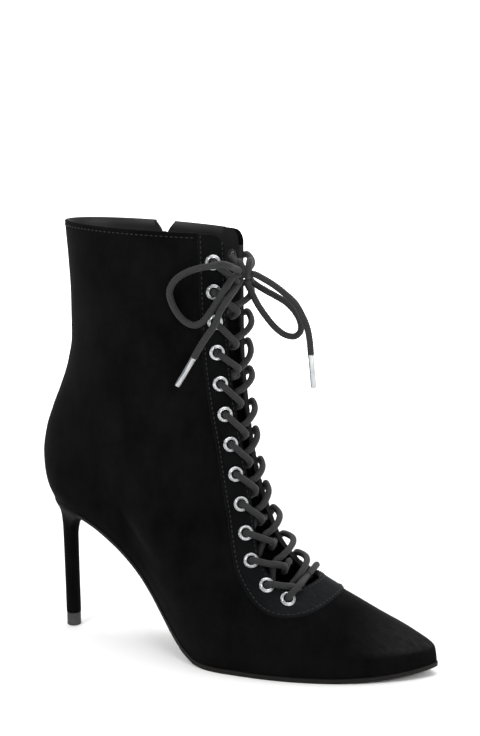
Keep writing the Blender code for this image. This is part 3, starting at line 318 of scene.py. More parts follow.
def smooth(xs, ys, x):
    """A smooth curve through the points, with no overshoot, going on straight past its ends."""
    xs, ys = np.asarray(xs, float), np.asarray(ys, float)
    x = np.asarray(x, float)
    step = np.diff(xs)
    rise = np.diff(ys) / step
    slope = np.empty_like(ys)
    slope[0], slope[-1] = rise[0], rise[-1]
    inner = rise[:-1] * rise[1:] > 0
    weight_a, weight_b = 2 * step[1:] + step[:-1], step[1:] + 2 * step[:-1]
    safe_a = np.where(inner, rise[:-1], 1.0)
    safe_b = np.where(inner, rise[1:], 1.0)
    mean = (weight_a + weight_b) / (weight_a / safe_a + weight_b / safe_b)
    slope[1:-1] = np.where(inner, mean, 0.0)
    i = np.clip(np.searchsorted(xs, x) - 1, 0, len(xs) - 2)
    t = np.clip((x - xs[i]) / step[i], 0, 1)
    curve = (
        ys[i] * (1 + 2 * t) * (1 - t) ** 2
        + ys[i + 1] * t * t * (3 - 2 * t)
        + step[i] * t * (1 - t) * (slope[i] * (1 - t) - slope[i + 1] * t)
    )
    before = np.minimum(x - xs[0], 0) * slope[0]
    after = np.maximum(x - xs[-1], 0) * slope[-1]
    return curve + before + after


def at_level(name, level):
    """A column of the rings at any level."""
    return smooth(column(LEVELS, LEVEL_COLUMNS, "level"), column(LEVELS, LEVEL_COLUMNS, name), level)


def feather_height(along):
    """Height of the upper's bottom edge."""
    place = column(ARCH, ARCH_COLUMNS, "along")
    height = smooth(place, column(ARCH, ARCH_COLUMNS, "height"), along)
    spring = smooth(place, column(ARCH, ARCH_COLUMNS, "spring"), along)
    return TREAD_TOP + height * (SEAT_HEIGHT - TREAD_TOP) + spring * TOE_SPRING


def foot_half_width(along, side):
    """Half width of the foot on the outer (-1) or inner (+1) side."""
    name = "outer" if side < 0 else "inner"
    place, share = PLAN_COLUMNS.index(name + "_along"), PLAN_COLUMNS.index(name + "_share")
    widths = {"seat": SEAT_WIDTH, "waist": WAIST_WIDTH, "ball": BALL_WIDTH}
    places = [PLAN[key][place] for key in widths]
    halves = [PLAN[key][share] * width for key, width in widths.items()]
    return smooth([-1] + places + [2], [halves[0]] + halves + [halves[-1]], along)


def rounded(t, power):
    """How a ring opens from its end (t 0) to its full width (t 1)."""
    t = np.clip(t, 0, 1)
    return (1 - (1 - t) ** 2) ** power


def inward_end(x, z, level, sign):
    """Unit directions into the boot, in the XZ plane, from a profile line of the rings' ends."""
    small = 1e-3
    level = np.clip(level, 0, 1)
    ahead, behind = np.clip(level + small, 0, 1), np.clip(level - small, 0, 1)
    run = (at_level(x[0], ahead) - at_level(x[0], behind)) * x[1]
    rise = (at_level(z[0], ahead) - at_level(z[0], behind)) * z[1]
    length = np.hypot(run, rise)
    lift = np.clip(level / 0.06, 0, 1)
    flat = sign * (1.25 if sign < 0 else 1.0)
    return lift * sign * rise / length + (1 - lift) * flat, -lift * sign * run / length


def last_surface(level, turn, inset=0.0):
    """Points of the upper's outer face, or of a face inside it, as an array with x, y and z last."""
    level, turn = np.broadcast_arrays(np.asarray(level, float), np.asarray(turn, float))
    along = (1 - np.cos(math.pi * np.abs(turn))) / 2
    back = inward_end(("back_x", SEAT_BACK), ("back_z", SHAFT_HEIGHT), level, 1)
    front = inward_end(("front_x", TOE_REACH), ("front_z", TOTAL_HEIGHT), level, -1)
    back_x = at_level("back_x", level) * SEAT_BACK + inset * back[0]
    back_z = SEAT_HEIGHT + at_level("back_z", level) * SHAFT_HEIGHT + inset * back[1]
    front_x = at_level("front_x", level) * TOE_REACH + inset * front[0]
    front_z = TREAD_TOP + TOE_SPRING + at_level("front_z", level) * TOTAL_HEIGHT + inset * front[1]
    foot_along = along + inset * (back[0] * (1 - along) + front[0] * along) / FOOT_LENGTH
    straight = SEAT_HEIGHT + (TREAD_TOP + TOE_SPRING - SEAT_HEIGHT) * along
    dip = (feather_height(foot_along) - straight) * at_level("sag", level)
    foot = np.where(turn < 0, foot_half_width(along, -1), foot_half_width(along, 1))
    foot = foot * at_level("fullness", level)
    shaft = at_level("shaft", level)
    half = foot * (1 - shaft) + shaft * at_level("girth", level) * COLLAR_WIDTH / 2 - inset
    half = half * rounded(along / at_level("back_round", level), 0.5)
    half = half * rounded((1 - along) / at_level("front_round", level), at_level("front_power", level))
    swing = TOE_SWING * np.clip(2 * along - 1, 0, 1) ** 2 * np.clip(1 - 2 * level, 0, 1)
    x = back_x + (front_x - back_x) * along
    y = np.where(turn < 0, -half, half) + swing
    z = back_z + (front_z - back_z) * along + dip
    return np.stack([x, y, z], -1)


def outward(level, turn):
    """Unit normals of the outer face, pointing out of the boot."""
    small = 1e-3
    level, turn = np.asarray(level, float), np.asarray(turn, float)
    up = last_surface(level + small, turn) - last_surface(level - small, turn)
    around = last_surface(level, wrapped(turn + small)) - last_surface(level, wrapped(turn - small))
    normal = np.cross(up, around)
    return normal / np.maximum(np.linalg.norm(normal, axis=-1, keepdims=True), 1e-12)


def wrapped(turn):
    """A turn past the front comes back on the other side."""
    return (np.asarray(turn, float) + 1) % 2 - 1


def wall_point(level, turn, depth=0.0):
    """Points below (depth > 0) or above (depth < 0) the upper's outer face."""
    return last_surface(level, turn) - outward(level, turn) * np.asarray(depth, float)[..., None]


def sole_outline(turn, inset, drop):
    """Points of the feather line, moved in from it by inset and down by drop."""
    turn = np.asarray(turn, float)
    edge = last_surface(np.zeros_like(turn), turn)
    normal = outward(np.zeros_like(turn), turn)
    small = 1e-4
    ahead = feather_height((edge[..., 0] + small + SEAT_BACK) / FOOT_LENGTH)
    slope = (ahead - feather_height((edge[..., 0] + SEAT_BACK) / FOOT_LENGTH)) / small
    sole_normal = np.stack([-slope, np.zeros_like(slope), np.ones_like(slope)], -1)
    sole_normal /= np.linalg.norm(sole_normal, axis=-1, keepdims=True)
    flat = normal - sole_normal * (normal * sole_normal).sum(-1, keepdims=True)
    flat /= np.linalg.norm(flat, axis=-1, keepdims=True)
    point = edge - flat * np.asarray(inset, float)[..., None]
    point[..., 2] = feather_height((point[..., 0] + SEAT_BACK) / FOOT_LENGTH) - drop
    return point


def sole_steepness(x):
    """How much longer a straight drop is than the sole's own thickness, at a place along it."""
    small = 1e-4
    along = (np.asarray(x, float) + SEAT_BACK) / FOOT_LENGTH
    slope = (feather_height(along + small / FOOT_LENGTH) - feather_height(along)) / small
    return np.sqrt(1 + slope * slope)


def throat_chart(down, across):
    """Level and turn of points measured on the upper: down from the collar along the front, and
    across from the front's centre line, below 0 on the outer side."""
    down, across = np.broadcast_arrays(np.asarray(down, float), np.asarray(across, float))
    levels = np.linspace(1.0, 0.0, 161)
    ridge = last_surface(levels, np.ones_like(levels))
    length = np.concatenate([[0], np.cumsum(np.linalg.norm(np.diff(ridge, axis=0), axis=1))])

    def cut(at, side_across):
        """The surface's cut square to the front line at one place, read off at a girth."""
        start = np.interp(at, length, levels)
        near = np.stack([np.interp(at, length, ridge[:, k]) for k in range(3)], -1)
        ahead = np.stack([np.interp(at + MM, length, ridge[:, k]) for k in range(3)], -1)
        behind = np.stack([np.interp(at - MM, length, ridge[:, k]) for k in range(3)], -1)
        along = (ahead - behind) / np.linalg.norm(ahead - behind, axis=-1, keepdims=True)
        turns = 1 - np.linspace(0, 0.62, 40)
        sign = np.where(side_across < 0, -1.0, 1.0)
        turn = sign[:, None] * turns[None, :]
        low, high = np.full(turn.shape, -0.3), np.full(turn.shape, 1.3)
        for _ in range(22):
            middle = (low + high) / 2
            away = ((last_surface(middle, turn) - near[:, None]) * along[:, None]).sum(-1)
            low, high = np.where(away > 0, middle, low), np.where(away > 0, high, middle)
        level = (low + high) / 2
        level[:, 0] = start
        place = last_surface(level, turn)
        girth = np.linalg.norm(np.diff(place, axis=1), axis=2)
        girth = np.concatenate([np.zeros((len(at), 1)), np.cumsum(girth, axis=1)], axis=1)
        found = [
            (np.interp(abs(a), g, lv), s * np.interp(abs(a), g, turns))
            for a, g, lv, s in zip(side_across, girth, level, sign)
        ]
        return np.array(found).T

    flat_down, flat_across = down.ravel(), across.ravel()
    level, turn = cut(flat_down, flat_across)
    top_level, _ = cut(np.zeros_like(flat_down), flat_across)
    fade = np.clip(1 - flat_down / (40 * MM), 0, 1)
    level = level + (1 - top_level) * fade
    return level.reshape(down.shape), turn.reshape(down.shape)


def throat_half(offset, arm_rows, end_rows, last_angle=90):
    """One half of a line that follows the throat's edge at an offset from it, from the collar down
    to the front: distances down from the collar and across from the centre."""
    centre = THROAT_LENGTH - THROAT_END_REACH
    inward = np.clip(CORNER_RADIUS - offset, 0, CORNER_RADIUS)
    top = CORNER_RADIUS - math.sqrt(CORNER_RADIUS**2 - inward**2)
    down_arm = top + (centre - top) * np.linspace(0, 1, arm_rows + 1)
    place = column(THROAT, THROAT_COLUMNS, "down")
    open_top = smooth(place, column(THROAT, THROAT_COLUMNS, "top"), down_arm / centre)
    open_foot = smooth(place, column(THROAT, THROAT_COLUMNS, "foot"), down_arm / centre)
    across_arm = offset + THROAT_WAIST_WIDTH / 2
    across_arm = across_arm + open_top * (THROAT_TOP_WIDTH - THROAT_WAIST_WIDTH) / 2
    across_arm = across_arm + open_foot * (THROAT_FOOT_WIDTH - THROAT_WAIST_WIDTH) / 2
    angle = np.radians(last_angle) * np.linspace(0, 1, end_rows + 1)[1:]
    down = np.concatenate([down_arm, centre + (THROAT_END_REACH + offset) * np.sin(angle)])
    return down, np.concatenate([across_arm, (THROAT_FOOT_WIDTH / 2 + offset) * np.cos(angle)])


def throat_line(offset):
    """Level and turn of the whole line: down the outer side, round the front and up the inner side."""
    down, across = throat_half(offset, ARM_ROWS, END_ROWS)
    level, turn = throat_chart(down, across)
    if down[0] < 1e-9:
        level[0] = 1.0
    turn[-1] = 1.0
    return np.concatenate([level, level[-2::-1]]), np.concatenate([-turn, turn[-2::-1]])


@functools.cache
def eyelet_row():
    """Distances down and across of the eyelets of one side, from the top one."""
    down, across = throat_half(EYELET_INSET, 60, 12, LAST_EYELET_ANGLE)
    length = np.concatenate([[0], np.cumsum(np.hypot(np.diff(down), np.diff(across)))])
    start = np.interp(TOP_EYELET_DROP, down, length)
    share = np.linspace(0, 1, EYELET_PAIRS)
    share = share + EYELET_CROWDING * share**2 * (1 - share)
    place = start + (length[-1] - start) * share
    return np.interp(place, length, down), np.interp(place, length, across)


def edge_half(at_down):
    """Half width of the throat at distances down from the collar."""
    down, across = throat_half(0, 60, 12)
    return np.interp(at_down, down, across)


def throat_point(down, across, depth):
    """Points measured on the upper round its front, as throat_chart, and below its outer face."""
    level, turn = throat_chart(down, across)
    return wall_point(level, turn, np.full(level.shape, depth))


def throat_normal(down, across):
    level, turn = throat_chart(down, across)
    return outward(level, turn)


def foot_turns():
    """Turns of the columns where they meet the feather line, from the front round the outer side,
    the back and the inner side."""
    rise = np.linspace(0, 1, ARM_ROWS + END_ROWS + 1)
    fan = [column(FOOT_FAN, FOOT_FAN_COLUMNS, name) for name in ("rise", "turn")]
    foot = -np.interp(rise, *fan)
    collar = np.linspace(foot[-1], -foot[-1], COLLAR_COLUMNS + 1)[1:-1]
    return np.concatenate([foot, collar, -foot[:0:-1]])


def seat_turn():
    """The turn at which the feather line passes the heel's breast."""
    along = (HEEL_BREAST + SEAT_BACK) / FOOT_LENGTH
    return math.acos(1 - 2 * along) / math.pi


def frame_at(point, normal):
    """A place on the upper as a matrix: its Z points out, its Y up along the boot."""
    z = Vector(normal).normalized()
    x = Vector((0, 0, 1)).cross(z).normalized()
    y = z.cross(x)
    placed = Matrix((x, y, z)).transposed().to_4x4()
    placed.translation = Vector(point)
    return placed


def seated(frame, faces, radius):
    """A frame moved and tilted to lie flat on a faceted face, touching it at a radius round it."""
    for _ in range(2):
        angle = np.linspace(0, 2 * math.pi, 16, endpoint=False)
        down = -frame.col[2].to_3d()
        heights = []
        for a in angle:
            start = frame @ Vector((radius * math.cos(a), radius * math.sin(a), 4 * MM))
            heights.append(4 * MM - faces.ray_cast(start, down)[3])
        heights = np.array(heights)
        tilt_x = (heights * np.cos(angle)).mean() * 2 / radius
        tilt_y = (heights * np.sin(angle)).mean() * 2 / radius
        normal = frame.to_3x3() @ Vector((-tilt_x, -tilt_y, 1))
        point = frame @ Vector((0, 0, heights.mean()))
        flat = heights - radius * (tilt_x * np.cos(angle) + tilt_y * np.sin(angle))
        frame = frame_at(point + normal.normalized() * float(flat.max() - flat.mean()), normal)
    return frame


def unit(vector):
    return vector / np.linalg.norm(vector)


def knot_centre():
    front = last_surface(1.0, 1.0)
    return front + np.array([KNOT_AHEAD, -KNOT_ASIDE, -KNOT_DROP])


def zip_chart(aside, drop):
    """Level and turn on the inner side: aside from the zip's centre line, above 0 to the toe, and
    drop down from the collar."""
    aside, drop = np.broadcast_arrays(np.asarray(aside, float), np.asarray(drop, float))
    top = last_surface(1.0, 0.5)[2]
    height = top - drop
    share = (height - ZIP_FOOT_HEIGHT) / (top - ZIP_FOOT_HEIGHT)
    x = ZIP_FOOT_X + (ZIP_TOP_X - ZIP_FOOT_X) * share + aside
    level, turn = 0.35 + 0.65 * share, np.full(x.shape, 0.5)
    small = 1e-3
    for _ in range(12):
        place = last_surface(level, turn)
        by_level = (last_surface(level + small, turn) - place) / small
        by_turn = (last_surface(level, turn + small) - place) / small
        miss_x, miss_z = x - place[..., 0], height - place[..., 2]
        size = by_level[..., 0] * by_turn[..., 2] - by_level[..., 2] * by_turn[..., 0]
        level = level + (miss_x * by_turn[..., 2] - miss_z * by_turn[..., 0]) / size
        turn = np.clip(turn + (by_level[..., 0] * miss_z - by_level[..., 2] * miss_x) / size, 0.1, 0.9)
    return level, turn


def zip_length():
    return float(last_surface(1.0, 0.5)[2]) - ZIP_FOOT_HEIGHT


def slider_frame():
    """The slider's place on the outer face: X to the heel, Y up, Z out."""
    level, turn = zip_chart(np.zeros(1), np.full(1, SLIDER_DROP))
    return frame_at(wall_point(level, turn)[0], outward(level, turn)[0])


def eyelet_frames(skin):
    """Frames on the eyestay's face at every eyelet: first the outer side's, from the top, then the
    inner side's."""
    down, across = eyelet_row()
    down = np.concatenate([down, down])
    across = np.concatenate([-across, across])
    points = throat_point(down, across, -EYESTAY_STEP)
    placed = [frame_at(p, n) for p, n in zip(points, throat_normal(down, across))]
    shape = bmesh.new()
    shape.from_mesh(skin.data)
    faces = BVHTree.FromBMesh(shape)
    shape.free()
    return [seated(frame, faces, EYELET_FLANGE / 2) for frame in placed]


# Meshes and materials


def row_of(points, rows):
    """Adds a row to a list of points and gives the row's numbers."""
    first = len(points)
    points.extend(rows)
    return list(range(first, len(points)))


def band(first, second, closed=True):
    """Faces between two rows of points, each corner once."""
    faces = []
    for i in range(len(first) if closed else len(first) - 1):
        j = (i + 1) % len(first)
        faces.append(tuple(dict.fromkeys((first[i], first[j], second[j], second[i]))))
    return faces


def add_body(points, faces, rows):
    """Adds a closed body, from rows with as many points each, to a mesh's points and faces."""
    loops = [row_of(points, row) for row in rows]
    for first, second in zip(loops, loops[1:]):
        faces.extend(band(first, second))
    faces.extend([tuple(loops[0]), tuple(loops[-1])])


def circle(steps):
    return np.linspace(0, 2 * math.pi, steps, endpoint=False)


def mesh_object(name, points, faces):
    """An object from lists of points and faces, with its faces turned outwards."""
    mesh = bpy.data.meshes.new(name)
    mesh.from_pydata([tuple(p) for p in points], [], faces)
    shape = bmesh.new()
    shape.from_mesh(mesh)
    bmesh.ops.recalc_face_normals(shape, faces=shape.faces)
    shape.to_mesh(mesh)
    shape.free()
    thing = bpy.data.objects.new(name, mesh)
    bpy.context.scene.collection.objects.link(thing)
    return thing


def mesh_piece(name, points, faces, *materials, body="boot", smooth=40):
    """A piece that rides on a body, with edges sharper than an angle left sharp."""
    thing = mesh_object(name, points, faces)
    thing.data.shade_smooth()
    thing.data.set_sharp_from_angle(angle=math.radians(smooth))
    for material in materials:
        thing.data.materials.append(material)
    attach(thing, body)
    return thing


class Shader:
    """A Principled material with a few helpers for its nodes."""

    def __init__(self, name, colour, roughness, metallic=0.0):
        self.material = bpy.data.materials.new(name)
        self.material.use_nodes = True
        self.nodes = self.material.node_tree.nodes
        self.links = self.material.node_tree.links
        self.out = self.nodes["Principled BSDF"]
        self.set("Base Color", (*colour, 1))
        self.set("Roughness", roughness)
        self.set("Metallic", metallic)
        self.place = self.nodes.new("ShaderNodeTexCoord").outputs["Object"]

    def set(self, socket, value):
        self.out.inputs[socket].default_value = value

    def link(self, value, socket):
        self.links.new(value, self.out.inputs[socket])

    def feed(self, value, socket):
        """A number, a colour or another node's output into a node's input."""
        if isinstance(value, bpy.types.NodeSocket):
            self.links.new(value, socket)
        else:
            socket.default_value = (*value, 1) if isinstance(value, tuple) else value

    def noise(self, scale, detail=3.0, roughness=0.55, stretch=None):
        node = self.nodes.new("ShaderNodeTexNoise")
        node.inputs["Scale"].default_value = scale
        node.inputs["Detail"].default_value = detail
        node.inputs["Roughness"].default_value = roughness
        place = self.place
        if stretch:
            mapping = self.nodes.new("ShaderNodeMapping")
            mapping.inputs["Scale"].default_value = stretch
            self.links.new(place, mapping.inputs["Vector"])
            place = mapping.outputs["Vector"]
        self.links.new(place, node.inputs["Vector"])
        return node.outputs["Fac"]

    def ramp(self, value, low, high):
        """From one value or colour to another, each given as a place and what it is there."""
        node = self.nodes.new("ShaderNodeValToRGB")
        for element, (place, colour) in zip(node.color_ramp.elements, (low, high)):
            element.position = place
            element.color = (*colour, 1) if isinstance(colour, tuple) else (colour, colour, colour, 1)
        self.links.new(value, node.inputs["Fac"])
        return node.outputs["Color"]

    def vary(self, socket, low, high, *noise):
        """A socket that wanders between two values or colours."""
        self.link(self.ramp(self.noise(*noise), (0.3, low), (0.7, high)), socket)

    def mix(self, factor, first, second, blend="MIX"):
        node = self.nodes.new("ShaderNodeMix")
        node.data_type = "RGBA"
        node.blend_type = blend
        inputs = [i for i in node.inputs if i.enabled]
        for value, socket in zip((factor, first, second), inputs):
            self.feed(value, socket)
        return [o for o in node.outputs if o.enabled][0]

    def math(self, operation, first, second):
        node = self.nodes.new("ShaderNodeMath")
        node.operation = operation
        self.feed(first, node.inputs[0])
        self.feed(second, node.inputs[1])
        return node.outputs["Value"]

    def axis(self, vector, name):
        node = self.nodes.new("ShaderNodeSeparateXYZ")
        self.links.new(vector, node.inputs["Vector"])
        return node.outputs[name]

    def span(self, value, low, high):
        """0 up to low and 1 from high on."""
        node = self.nodes.new("ShaderNodeMapRange")
        node.interpolation_type = "SMOOTHSTEP"
        node.inputs["From Min"].default_value = low
        node.inputs["From Max"].default_value = high
        self.links.new(value, node.inputs["Value"])
        return node.outputs["Result"]

    def bump(self, height, distance, strength):
        node = self.nodes.new("ShaderNodeBump")
        node.inputs["Strength"].default_value = strength
        node.inputs["Distance"].default_value = distance
        self.links.new(height, node.inputs["Height"])
        normal = self.out.inputs["Normal"]
        if normal.links:
            self.links.new(normal.links[0].from_socket, node.inputs["Normal"])
        self.links.new(node.outputs["Normal"], normal)


def suede_shader(name, dark, light, sheen, wear_and_highlight_colour, wear_and_highlight_from, wear_and_highlight_to):
    """Brushed suede: patches where the nap lies another way, a fine fibre, and lighter places: the
    toe's top, rubbed and with a painted highlight where it faces up, from one X to another, and a
    painted highlight on the back."""
    s = Shader(name, dark, 0.95)
    patches = s.noise(28, 4, 0.6)
    streaks = s.noise(90, 4, 0.65, (1.0, 1.0, 0.45))
    fibre = s.noise(2200, 2, 0.6)
    nap = s.math("ADD", s.math("MULTIPLY", patches, 0.55), s.math("MULTIPLY", streaks, 0.45))
    tone = s.ramp(nap, (0.36, dark), (0.66, light))
    facing = s.nodes["Texture Coordinate"].outputs["Normal"]
    # Rubbed toe and painted highlight: lighter from one X to another where the face turns up
    ahead = s.span(s.axis(s.place, "X"), wear_and_highlight_from, wear_and_highlight_to)
    toe = s.math("MULTIPLY", ahead, s.span(s.axis(facing, "Z"), -0.1, 0.6))
    # Painted highlight: lighter where the face turns to the back
    back = s.span(s.math("MULTIPLY", s.axis(facing, "X"), -1.0), 0.72, 0.98)
    brushed = s.ramp(s.noise(560, 5, 0.7, (0.2, 1.0, 0.7)), (0.26, 0.2), (0.74, 1.0))
    stroked = s.ramp(s.noise(130, 4, 0.65, (1.0, 1.0, 0.25)), (0.38, 0.0), (0.68, 0.8))
    # The rubbed toe and the painted highlights mix the colour towards the lighter one
    wear_and_highlight = s.math("ADD", s.math("MULTIPLY", toe, brushed), s.math("MULTIPLY", back, stroked))
    tone = s.mix(s.math("MINIMUM", wear_and_highlight, 1.0), tone, wear_and_highlight_colour)
    grain = s.ramp(fibre, (0.3, 0.72), (0.7, 1.0))
    s.link(s.mix(1.0, tone, grain, "MULTIPLY"), "Base Color")
    s.bump(fibre, 0.12 * MM, 0.7)
    s.bump(s.noise(420, 3, 0.6), 0.18 * MM, 0.5)
    s.set("Specular IOR Level", 0.04)
    s.set("Sheen Weight", sheen)
    s.set("Sheen Roughness", 0.45)
    s.set("Sheen Tint", (0.75, 0.78, 0.82, 1))
    return s.material


def edge_shader():
    s = Shader("cut_edge", (0.03, 0.03, 0.032), 0.9)
    s.vary("Base Color", (0.004, 0.004, 0.0043), (0.011, 0.0112, 0.012), 900, 3)
    s.bump(s.noise(1500, 2), 0.1 * MM, 0.6)
    return s.material


def lining_shader():
    s = Shader("lining", (0.03, 0.03, 0.032), 0.5)
    s.vary("Base Color", (0.004, 0.004, 0.0042), (0.010, 0.0098, 0.0098), 60, 4)
    s.bump(s.noise(900, 3, 0.6), 0.08 * MM, 0.6)
    s.set("Specular IOR Level", 0.35)
    return s.material


def rubber_shader(name, dark, light, roughness):
    s = Shader(name, dark, roughness)
    s.vary("Base Color", dark, light, 140, 4)
    s.bump(s.noise(1300, 3), 0.06 * MM, 0.5)
    s.bump(s.noise(90, 4, 0.7), 0.2 * MM, 0.25)
    s.set("Specular IOR Level", 0.2)
    return s.material


def metal_shader(name, colour, roughness):
    s = Shader(name, colour, roughness, 1.0)
    s.vary("Roughness", roughness * 0.7, roughness * 1.4, 700, 3)
    s.bump(s.noise(2600, 2), 0.004 * MM, 0.4)
    return s.material


def cord_shader(name, dark, light):
    """Waxed round braid. The braid itself is in the mesh."""
    s = Shader(name, dark, 0.62)
    s.vary("Base Color", dark, light, 1500, 3, 0.6)
    s.bump(s.noise(3000, 2, 0.6), 0.08 * MM, 0.6)
    s.set("Specular IOR Level", 0.2)
    s.set("Sheen Weight", 0.08)
    s.set("Sheen Roughness", 0.5)
    return s.material


def aglet_shader():
    s = Shader("aglet", (0.35, 0.36, 0.37), 0.24, 0.9)
    s.vary("Base Color", (0.26, 0.27, 0.28), (0.42, 0.43, 0.44), 240, 3, 0.6, (1, 1, 0.3))
    s.bump(s.noise(700, 2), 0.03 * MM, 0.4)
    s.set("Coat Weight", 0.5)
    s.set("Coat Roughness", 0.15)
    return s.material


# Each suede's lighter colour and X span are for its rubbed toe, the painted highlight on its top, and the
# painted highlight on the back
SUEDE = suede_shader(
    "black_suede", (0.0009, 0.0009, 0.0010), (0.0040, 0.0040, 0.0040), 0.03,
    wear_and_highlight_colour=(0.024, 0.0238, 0.0234), wear_and_highlight_from=185 * MM, wear_and_highlight_to=242 * MM,
)
STAY = suede_shader(
    "eyestay_suede", (0.0013, 0.0014, 0.0015), (0.0050, 0.0052, 0.0055), 0.05,
    wear_and_highlight_colour=(0.0125, 0.0138, 0.0150), wear_and_highlight_from=120 * MM, wear_and_highlight_to=170 * MM,
)
EDGE = edge_shader()
LINING = lining_shader()
SOLE = rubber_shader("outsole", (0.0022, 0.0018, 0.0015), (0.0062, 0.0050, 0.0042), 0.6)
TIP = rubber_shader("heel_tip", (0.035, 0.035, 0.036), (0.06, 0.06, 0.06), 0.6)
EYELET = metal_shader("eyelet_metal", (0.42, 0.43, 0.44), 0.3)
ZIP = metal_shader("zip_metal", (0.16, 0.16, 0.17), 0.3)
CORD = cord_shader("lace", (0.0065, 0.0066, 0.0068), (0.020, 0.0202, 0.0205))
THREAD = cord_shader("thread", (0.003, 0.003, 0.0031), (0.0075, 0.0076, 0.0078))
TAPE = rubber_shader("zip_tape", (0.008, 0.008, 0.009), (0.016, 0.016, 0.017), 0.85)
AGLET = aglet_shader()


def turned_piece(name, matrix, profile, material, steps, closed=False, body="boot"):
    """A piece turned round its matrix's Z from a profile of radii and heights. A closed profile
    comes back to its start."""
    points, faces, loops = [], [], []
    for radius, height in profile:
        if radius < 1e-9:
            loops.append(row_of(points, [matrix @ Vector((0, 0, height))]) * steps)
            continue
        ring = [Vector((radius * math.cos(a), radius * math.sin(a), height)) for a in circle(steps)]
        loops.append(row_of(points, [matrix @ p for p in ring]))
    for first, second in zip(loops, loops[1:] + loops[:1] if closed else loops[1:]):
        faces.extend(band(first, second))
    return mesh_piece(name, points, faces, material, body=body, smooth=35)


def smooth_line(route, step):
    """A smooth curve through points, read at even steps."""
    points = np.asarray(route, float)
    knots = np.concatenate([[0], np.cumsum(np.linalg.norm(np.diff(points, axis=0), axis=1) ** 0.5)])
    slope = np.gradient(points, knots, axis=0)
    fine = []
    for i in range(len(points) - 1):
        span = knots[i + 1] - knots[i]
        t = np.linspace(0, 1, 24, endpoint=False)[:, None]
        fine.append(
            (1 + 2 * t) * (1 - t) ** 2 * points[i] + t * t * (3 - 2 * t) * points[i + 1]
            + span * t * (1 - t) * ((1 - t) * slope[i] - t * slope[i + 1])
        )
    fine = np.concatenate(fine + [points[-1:]])
    length = np.concatenate([[0], np.cumsum(np.linalg.norm(np.diff(fine, axis=0), axis=1))])
    place = np.linspace(0, length[-1], max(2, round(length[-1] / step) + 1))
    return np.stack([np.interp(place, length, fine[:, k]) for k in range(3)], -1)


BRAID_SIDES = 20
BRAID_STEP = 0.42 * MM
BRAID_RELIEF = 0.13 * MM
BRAID_PITCH = 3.2 * MM
BRAID_STRANDS = 5


def lace_piece(name, route, radius=LACE / 2):
    """A round lace along a smooth curve, with its braid in the mesh and rounded ends."""
    line = smooth_line(route, BRAID_STEP)
    along = np.gradient(line, axis=0)
    along /= np.linalg.norm(along, axis=1, keepdims=True)
    angle = circle(BRAID_SIDES)
    side = np.cross(along[0], (0.0, 0.6, 0.8))
    end = radius * 0.6
    rows = []
    for row, (point, direction) in enumerate(zip(line, along)):
        side = unit(side - direction * side.dot(direction))
        other = np.cross(direction, side)
        twist = 4 * math.pi * row * BRAID_STEP / BRAID_PITCH
        weave = np.cos(BRAID_STRANDS * angle + twist) + np.cos(BRAID_STRANDS * angle - twist)
        ring = radius + BRAID_RELIEF * (0.5 * weave - 0.4)
        from_end = min(row, len(line) - 1 - row) * BRAID_STEP
        if from_end < end:
            ring = ring * math.sqrt(max(0.15, 1 - (1 - from_end / end) ** 2))
        rows.append(point + ring[:, None] * (np.cos(angle)[:, None] * side + np.sin(angle)[:, None] * other))
    points, faces = [], []
    add_body(points, faces, rows)
    return mesh_piece(name, points, faces, CORD, smooth=60)


STITCH = 2.1 * MM
STITCH_PITCH = 3 * MM
THREAD_RADIUS = 0.33 * MM
STITCH_SINK = 0.05 * MM
# A stitch from end to end: the share of its length, its girth as a share of the thread's, and its
# height in thread radii
STITCH_SHAPE = ((0, 0.35, -0.8), (0.15, 0.9, 0.3), (0.5, 1.0, 0.75), (0.85, 0.9, 0.3), (1, 0.35, -0.8))


def stitches(name, places, normals):
    """A row of thread stitches along points on a face."""
    run = np.concatenate([[0], np.cumsum(np.linalg.norm(np.diff(places, axis=0), axis=1))])
    points, faces = [], []

    def read(values, at):
        return np.array([np.interp(at, run, values[:, k]) for k in range(3)])

    for n in range(int(run[-1] / STITCH_PITCH)):
        middle = (n + 0.5) * STITCH_PITCH
        start, end = read(places, middle - STITCH / 2), read(places, middle + STITCH / 2)
        normal = unit(read(normals, middle))
        side = np.cross(unit(end - start), normal)
        rows = []
        for share, girth, lift in STITCH_SHAPE:
            centre = start + (end - start) * share + normal * (lift * THREAD_RADIUS - STITCH_SINK)
            rows.append([
                centre + (side * math.cos(a) + normal * math.sin(a)) * THREAD_RADIUS * girth
                for a in circle(6)
            ])
        add_body(points, faces, rows)
    return mesh_piece(name, points, faces, THREAD)


# Upper


def ripple(point):
    """Soft unevenness of the well used shaft, in metres outwards."""
    value = noise.noise(Vector(point) * 22) * 0.35 + noise.noise(Vector(point) * 55) * 0.12
    return value * MM


def lumpy(level, turn, fade):
    """Outer face points with the leather's soft unevenness, fading to none where fade is 0."""
    points = last_surface(level, turn)
    lift = np.array([ripple(p) for p in points]) * fade
    return points + outward(level, turn) * lift[:, None]


UPPER_MATERIALS = (SUEDE, STAY, LINING, EDGE)
COLLAR_ROUND = 0.5 * MM  # how far the collar's rounded edge stands up
# The eyestay from its border to the throat's edge: shares of its width, and of its step
STAY_BORDER = ((0.00, 0.30), (0.012, 0.75), (0.04, 1.0), (0.10, 1.06))
STAY_LIP = ((0.93, 1.03), (0.975, 0.95), (0.995, 0.7))


